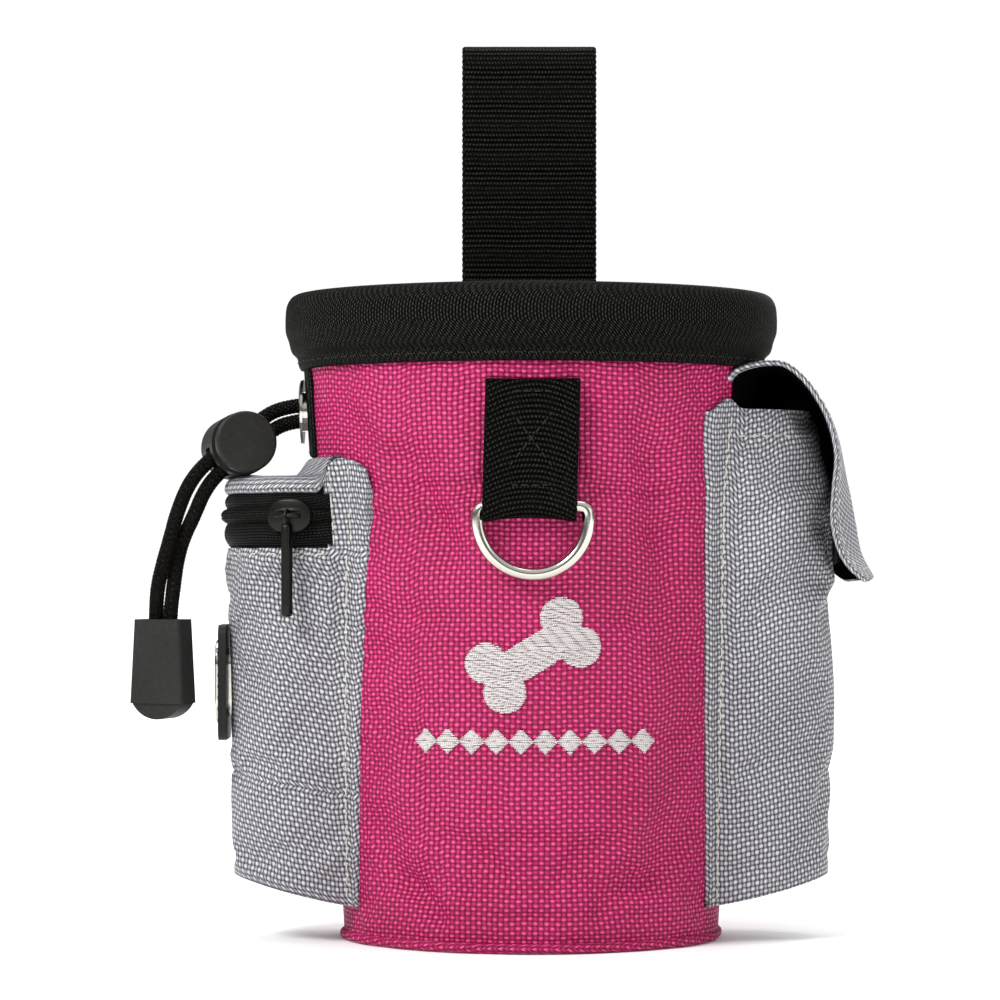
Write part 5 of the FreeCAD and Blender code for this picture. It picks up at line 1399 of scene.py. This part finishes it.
grip = rounded_slab("puller_grip", bar_outline(-27.4, -2.0, 1.75, 0.5), 2.3, on_puller, dish=0.35)
turn = np.linspace(0, 2 * math.pi, 32, endpoint=False)
eye = on_puller(1.71 * np.cos(turn), -0.6 + 2.1 * np.sin(turn), 1.15)
eye_ring = tube("puller_eye", eye, 0.5, around=10, closed=True)
puller = joined("puller", [grip, eye_ring])
finished(puller, BLACK_METAL, body="zip_puller", stands_for=["zip_puller"])

share = np.linspace(0.006, 0.994, 160)
rows = [along_wall(ZIP, ZIP_SWELL, 0 * share + face * 1.035, share, ZIP_LOW, 1.6) for face in (-1, 1)]
pieces = [stitches("zip_seam", line, out) for line, out in rows]
across = np.linspace(-END_W, END_W, 200)
line, out = along_wall(ZIP, ZIP_SWELL, across, 0 * across + 0.983, ZIP_LOW)
pieces.append(stitches("zip_hem", line, out))
for face in (-1, 1):
    for place in (END_W + 0.035, 1.035):
        z = np.linspace(ZIP_LOW + 0.6, float(corner_top(np.array(place))) - 1.2, 30)
        line = ZIP(face * place + 0 * z, z, 0.05)
        ahead = ZIP(face * place + 0.004 + 0 * z, z, 0.05) - line
        pieces.append(stitches("corner_seam", line, np.cross(ahead, [0, 0, 1])))
finished(joined("zip_pocket_stitches", pieces), PALE_THREAD)

plate_low, plate_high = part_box("dispenser_plate")
centre = (plate_low.z + plate_high.z) / 2 / MM
line = bar_outline(centre - 14.0, centre + 14.0, 8.3, 0.25)
line = np.concatenate([line, line[:1]])
line = stack(plate_low.x / MM - 0.02, line[:, 0], line[:, 1])
plate_stitches = stitches("plate_stitches", line, 0 * line - [1, 0, 0], long=2.2)
finished(plate_stitches, BLACK_THREAD)


# ---------------------------------------------------------------- the flap pocket

def mouth_top(w):
    """The mouth's edge: level, with a narrow lip running up the bag at each seam."""
    lip = 5.0 * np.exp(-((np.abs(w) - 1.03) / 0.022) ** 2)
    return OPEN_TOP + lip - 1.2 * ease(np.abs(w), 1.06, 1.11)


open_wall = sheet("open_wall", pocket_grid(OPEN, OPEN_SWELL, mouth_top, 104))
open_wall = thickened(open_wall, 1.1, rounded=0.4)
finished(open_wall, GREY, stands_for=["flap_pocket_wall"])
finished(pocket_base("open_base", OPEN), GREY,
         stands_for=["flap_pocket_floor"])

w, share = lattice(np.linspace(-0.97, 0.97, 70), np.linspace(0.02, 0.992, 60))
inside = along_wall(OPEN, OPEN_SWELL, w, share, OPEN_TOP, -1.75)[0]
share, z = lattice(np.linspace(0, 1, 60), np.linspace(18, 156.5, 60))
front, rear = OPEN(0 * z - 0.985, np.minimum(z, 145)), OPEN(0 * z + 0.985, np.minimum(z, 145))
first, last = (locate(seam[..., 0], seam[..., 1], z)[0] for seam in (front, rear))
s = first + (last - first) * share
back = pouch(s, z, 0.55 + 0.25 * np.sin(s / 5.0) * ease(z, 120, 150))[0]
open_lining = joined("open_lining", [sheet("inside", inside[::-1]), sheet("back", back)])
finished(open_lining, BLACK_CLOTH, stands_for=["flap_pocket_lining"])

share = np.linspace(0.006, 0.994, 200)
pieces = []
for face in (-1, 1):
    line, out = along_wall(OPEN, OPEN_SWELL, 0 * share + face * 1.03, share, OPEN_TOP, 1.6)
    pieces.append(stitches("open_seam", line, out))
across = np.linspace(-0.985, 0.985, 220)
line, out = along_wall(OPEN, OPEN_SWELL, across, 0 * across + 0.945, OPEN_TOP)
pieces.append(stitches("open_hem", line, out))
finished(joined("flap_pocket_stitches", pieces), PALE_THREAD)

FLAP_HALF, HINGE = 27.0, (68.6, 158.2)
FLAP_PROFILE = [
    HINGE, (73.6, 155.4), (78.2, 150.6), (82.2, 143.8), (85.6, 134.6), (88.0, 124.7),
    (89.4, 116.0), (90.8, 107.0), (94.4, 99.8),
]
FLAP_PULL = [0.0, 0.6, 1.2, 2.0, 3.5, 6.4, 7.8, 6.4, 4.4]
FLAP_ROWS = 150


def flap_line(y):
    """The flap's middle line from the bag to its tip, at that y, as points in x and z."""
    side = min(1.0, abs(y) / FLAP_HALF) ** 2
    root = float(end_curve(y)) * 0.995
    gap = HINGE[0] - root
    rise = [(0.0, 154.2), (0.14, 156.0 + 0.4 * side), (0.4, 157.1 + 0.8 * side),
            (0.7, 157.9 + 0.7 * side)]
    points = [(root + gap * a, z) for a, z in rise]
    for number, (x, z) in enumerate(FLAP_PROFILE):
        points.append((x - FLAP_PULL[number] * side, z - 1.0 * side * min(1, number / 2)))
    sag = 0.92 * ease(y, 0.0, 24.0)
    for number in range(1, len(points)):
        x, z = points[number]
        points[number] = (x, z - max(0.0, z - 147.9) * sag)
    return profile(points, FLAP_ROWS)


FLAP_STEPS = np.linspace(-FLAP_HALF, FLAP_HALF, 61)
FLAP_LINES = np.array([flap_line(y) for y in FLAP_STEPS])
FLAP_LENGTH = float(lengths_along(FLAP_LINES[30])[-1])


def flap_at(y, b, out):
    """A point of the flap: b from 0 at the bag to 1 at the tip, out mm above its middle."""
    y, b, out = np.broadcast_arrays(*(np.asarray(v, float) for v in (y, b, out)))
    i = np.clip((y + FLAP_HALF) / (2 * FLAP_HALF) * 60, 0, 60)
    j = np.clip(b, 0, 1) * (FLAP_ROWS - 1)
    i0, j0 = np.minimum(i.astype(int), 59), np.minimum(j.astype(int), FLAP_ROWS - 2)
    fi, fj = (i - i0)[..., None], (j - j0)[..., None]
    low = FLAP_LINES[i0, j0] * (1 - fi) + FLAP_LINES[i0 + 1, j0] * fi
    high = FLAP_LINES[i0, j0 + 1] * (1 - fi) + FLAP_LINES[i0 + 1, j0 + 1] * fi
    flat = low * (1 - fj) + high * fj
    along = unit(high - low)
    wave = 0.35 * np.sin(b * 9.0 + y / 9.0) * ease(b, 0.25, 0.5)
    off = out + wave
    return stack(flat[..., 0] - along[..., 1] * off, y, flat[..., 1] + along[..., 0] * off)


def flap_slab(name, inset, out, thick, low, high):
    """One ply of the flap with rounded edges, its corners at the tip rounded."""
    tip = np.sin(np.linspace(0, math.pi / 2, 7)[1:])
    b = np.concatenate([np.linspace(low, high - 0.012, 110), high - 0.012 * (1 - tip)])
    to_tip = (high - b) * FLAP_LENGTH
    corner = 6.0
    short = np.clip(corner - to_tip, 0, corner)
    half = FLAP_HALF - inset - corner + np.sqrt(np.clip(corner**2 - short**2, 0, None))
    full = thick / 2 * np.sqrt(np.clip(1 - np.clip(1 - to_tip / (thick / 2), 0, 1) ** 2, 0.02, 1))
    flat = np.linspace(-1, 1, 41)
    arc = np.linspace(-math.pi / 2, math.pi / 2, 9)[1:-1]
    across = np.concatenate([flat, 1 + 0 * arc, -flat, -1 + 0 * arc])
    extra = np.concatenate([0 * flat, np.cos(arc), 0 * flat, -np.cos(arc)])
    up = np.concatenate([-1 + 0 * flat, np.sin(arc), 1 + 0 * flat, -np.sin(arc)])
    y = across[:, None] * (half - thick / 2)[None] + extra[:, None] * thick / 2
    grid = flap_at(y, b[None] + 0 * y, out + up[:, None] * full[None])
    return sheet(name, fanned(grid)[::-1], closed=True, capped=True)


flap_cloth = finished(
    flap_slab("flap_cloth", 0.0, 0.25, 1.5, 0.0, 1.0), GREY, body=None,
    stands_for=["flap_outer", "flap_root"],
)
flap_back = finished(
    flap_slab("flap_back", 1.3, -0.75, 0.55, 0.004, 0.985), BLACK_CLOTH, body=None,
    stands_for=["flap_lining"],
)


def flap_seam(name, y, b):
    """Stitches on the flap's outer face along the line of its points y, b."""
    line = flap_at(y, b, 1.02)
    return stitches(name, line, flap_at(y, b, 2.0) - line, radius=0.2)


pieces = [flap_seam("flap_side", face * 24.2, np.linspace(0.10, 0.95, 150)) for face in (-1, 1)]
pieces.append(flap_seam("flap_tip", np.linspace(-21, 21, 80), 0.955))
box = [(-7.4, 0.645), (7.4, 0.645), (7.4, 0.845), (-7.4, 0.845), (-7.4, 0.645)]
t = np.linspace(0, 1, 30)
for (y0, b0), (y1, b1) in zip(box, box[1:]):
    pieces.append(flap_seam("flap_box", y0 + (y1 - y0) * t, b0 + (b1 - b0) * t))
flap_stitches = finished(joined("flap_stitches", pieces), PALE_THREAD, body=None)
for piece in (flap_cloth, flap_back, flap_stitches):
    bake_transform(piece)


def nap(name, points, out, size, seed):
    """Small bent hooks or loops standing on a tape."""
    chance = np.random.default_rng(seed)
    pieces = []
    for spot, up in zip(points, out):
        side = unit(np.cross(up, chance.normal(size=3)))
        t = np.linspace(0, math.pi * 0.9, 5)
        bow = spot + np.outer(np.sin(t) * size, up) + np.outer((1 - np.cos(t)) * size * 0.35, side)
        pieces.append((bow, np.full(5, 0.11), up))
    return capsules(name, pieces)


y, z = lattice(np.linspace(-7, 7, 15), np.linspace(104, 121, 18))
SLEEVE_R = 28.0
hook_x = SLEEVE_X + SLEEVE_R * np.sqrt(1 - (y / SLEEVE_R) ** 2)
edge_fall = np.minimum(ease(7 - np.abs(y), 0, 0.8), ease(8.5 - np.abs(z - 112.5), 0, 0.8))
base = sheet("hook_base", stack(hook_x + 0.2 + 0.75 * edge_fall, y, z))
points = stack(hook_x + 0.95, y, z)[1:-1, 1:-1].reshape(-1, 3)
hooks = nap("hook_nap", points, stack(1.0 + 0 * points[:, 0], 0, 0), 0.5, 3)
finished(joined("hook_tape", [base, hooks]), HOOKS, stands_for=["pocket_hook_tape"])

y, b = lattice(np.linspace(-7, 7, 15), np.linspace(0.655, 0.835, 18))
edge_fall = np.minimum(ease(7 - np.abs(y), 0, 0.8), ease(0.09 - np.abs(b - 0.745), 0, 0.012))
base = sheet("loop_base", flap_at(y, b, -1.0 - 0.6 * edge_fall)[::-1])
points = flap_at(y, b, -1.6)[1:-1, 1:-1].reshape(-1, 3)
facing = unit(flap_at(y, b, -2.6) - flap_at(y, b, -1.6))[1:-1, 1:-1].reshape(-1, 3)
loops = nap("loop_nap", points, facing, 0.42, 5)
finished(joined("loop_tape", [base, loops]), LOOPS, body="flap",
         stands_for=["flap_loop_tape"])


# ---------------------------------------------------------------- patch and embroidery

y, z = lattice(np.linspace(-13, 13, 60), np.linspace(133.6, 158.0, 56))
x = -end_curve(y) * taper(z)
fall = np.minimum(ease(13 - np.abs(y), 0, 1.0), ease(z, 133.6, 134.6))
patch = sheet("eyelet_patch_cloth", stack(x - 0.1 - 0.85 * np.sqrt(fall), -y, z))
without(patch, at_eyelet(5.6))
finished(patch, BINDING, stands_for=["eyelet_patch"])
line = np.array([(0, -11.3, 157.0), (0, -11.3, 135.3), (0, 11.3, 135.3), (0, 11.3, 157.0)])
line = spaced(line, 0.5)
line[:, 0] = -end_curve(line[:, 1]) * taper(line[:, 2]) - 0.98
patch_stitches = stitches("patch_stitches", line, 0 * line - [1, 0, 0], radius=0.2)
finished(patch_stitches, BLACK_THREAD)

BONE_Z, BONE_TURN, BONE_HALF = 80.0, math.radians(32), 10.0
SHAFT, KNOB, SPREAD = 4.6, 5.4, 4.6
THREAD_PITCH = 0.46
THREAD_RADII = np.array([0.16, 0.24, 0.26, 0.26, 0.24, 0.16])


def in_bone(along, across):
    """True inside the bone's outline, in its own axes."""
    inside = (np.abs(along) < BONE_HALF * 1.1) & (np.abs(across) < SHAFT)
    for end in (-1, 1):
        for rise in (-1, 1):
            reach = np.hypot(along - end * (BONE_HALF + 1.5), across - rise * SPREAD)
            inside |= reach < KNOB
    return inside


def satin(name, inside, centre, span, turn, longest, seed):
    """Rows of thread laid side by side over a shape on the bag's front, each broken into stitches.
    inside(u, v) is the shape in axes turned by turn about centre, which reach span each way."""
    chance = np.random.default_rng(seed)
    pieces = []
    for row, across in enumerate(np.arange(-span, span, THREAD_PITCH)):
        along = np.arange(-span, span, 0.2)
        filled = inside(along, across + 0 * along)
        edges = np.flatnonzero(np.diff(np.concatenate([[0], filled.astype(int), [0]])))
        for start, stop in zip(edges[::2], edges[1::2]):
            first, last = along[start] - 0.15, along[min(stop, len(along) - 1)] + 0.15
            cut = first - (row % 3) / 3 * longest
            while cut < last:
                low, high = max(cut, first), min(cut + longest, last)
                cut += longest
                if high - low < 0.5:
                    continue
                t = np.linspace(0, 1, 6)
                u = low + (high - low) * t
                v = across + chance.normal(0, 0.05)
                x = u * math.cos(turn) - v * math.sin(turn) + centre[0]
                z = u * math.sin(turn) + v * math.cos(turn) + centre[1]
                lift = 0.12 + 0.34 * np.sin(np.pi * t) ** 0.5
                line, out = pouch(front_at(x, z), z, lift)
                pieces.append((line, THREAD_RADII, out[2]))
    return capsules(name, pieces)


def turned(inside, angle):
    """The same shape read in axes turned by angle."""
    return lambda u, v: inside(
        u * math.cos(angle) - v * math.sin(angle), u * math.sin(angle) + v * math.cos(angle)
    )


LAY = math.radians(-30)
bone = satin("bone_threads", turned(in_bone, LAY), (0.0, BONE_Z), 20.0, BONE_TURN + LAY, 3.6, 11)
finished(bone, WHITE_THREAD, stands_for=["embroidered_bone"])

BORDER_Z, BORDER_PITCH, BORDER_SIZE, BORDER_COUNT = 57.0, 6.4, 2.3, 10


def in_diamond(u, v):
    return np.abs(u) + np.abs(v) < BORDER_SIZE * math.sqrt(2)


diamonds = []
for k in range(BORDER_COUNT):
    centre = ((k - (BORDER_COUNT - 1) / 2) * BORDER_PITCH, BORDER_Z)
    diamonds.append(satin(f"diamond_{k}", in_diamond, centre, 3.6, 0.0, 8.0, 20 + k))
finished(joined("border_threads", diamonds), WHITE_THREAD,
         stands_for=["embroidered_border"])
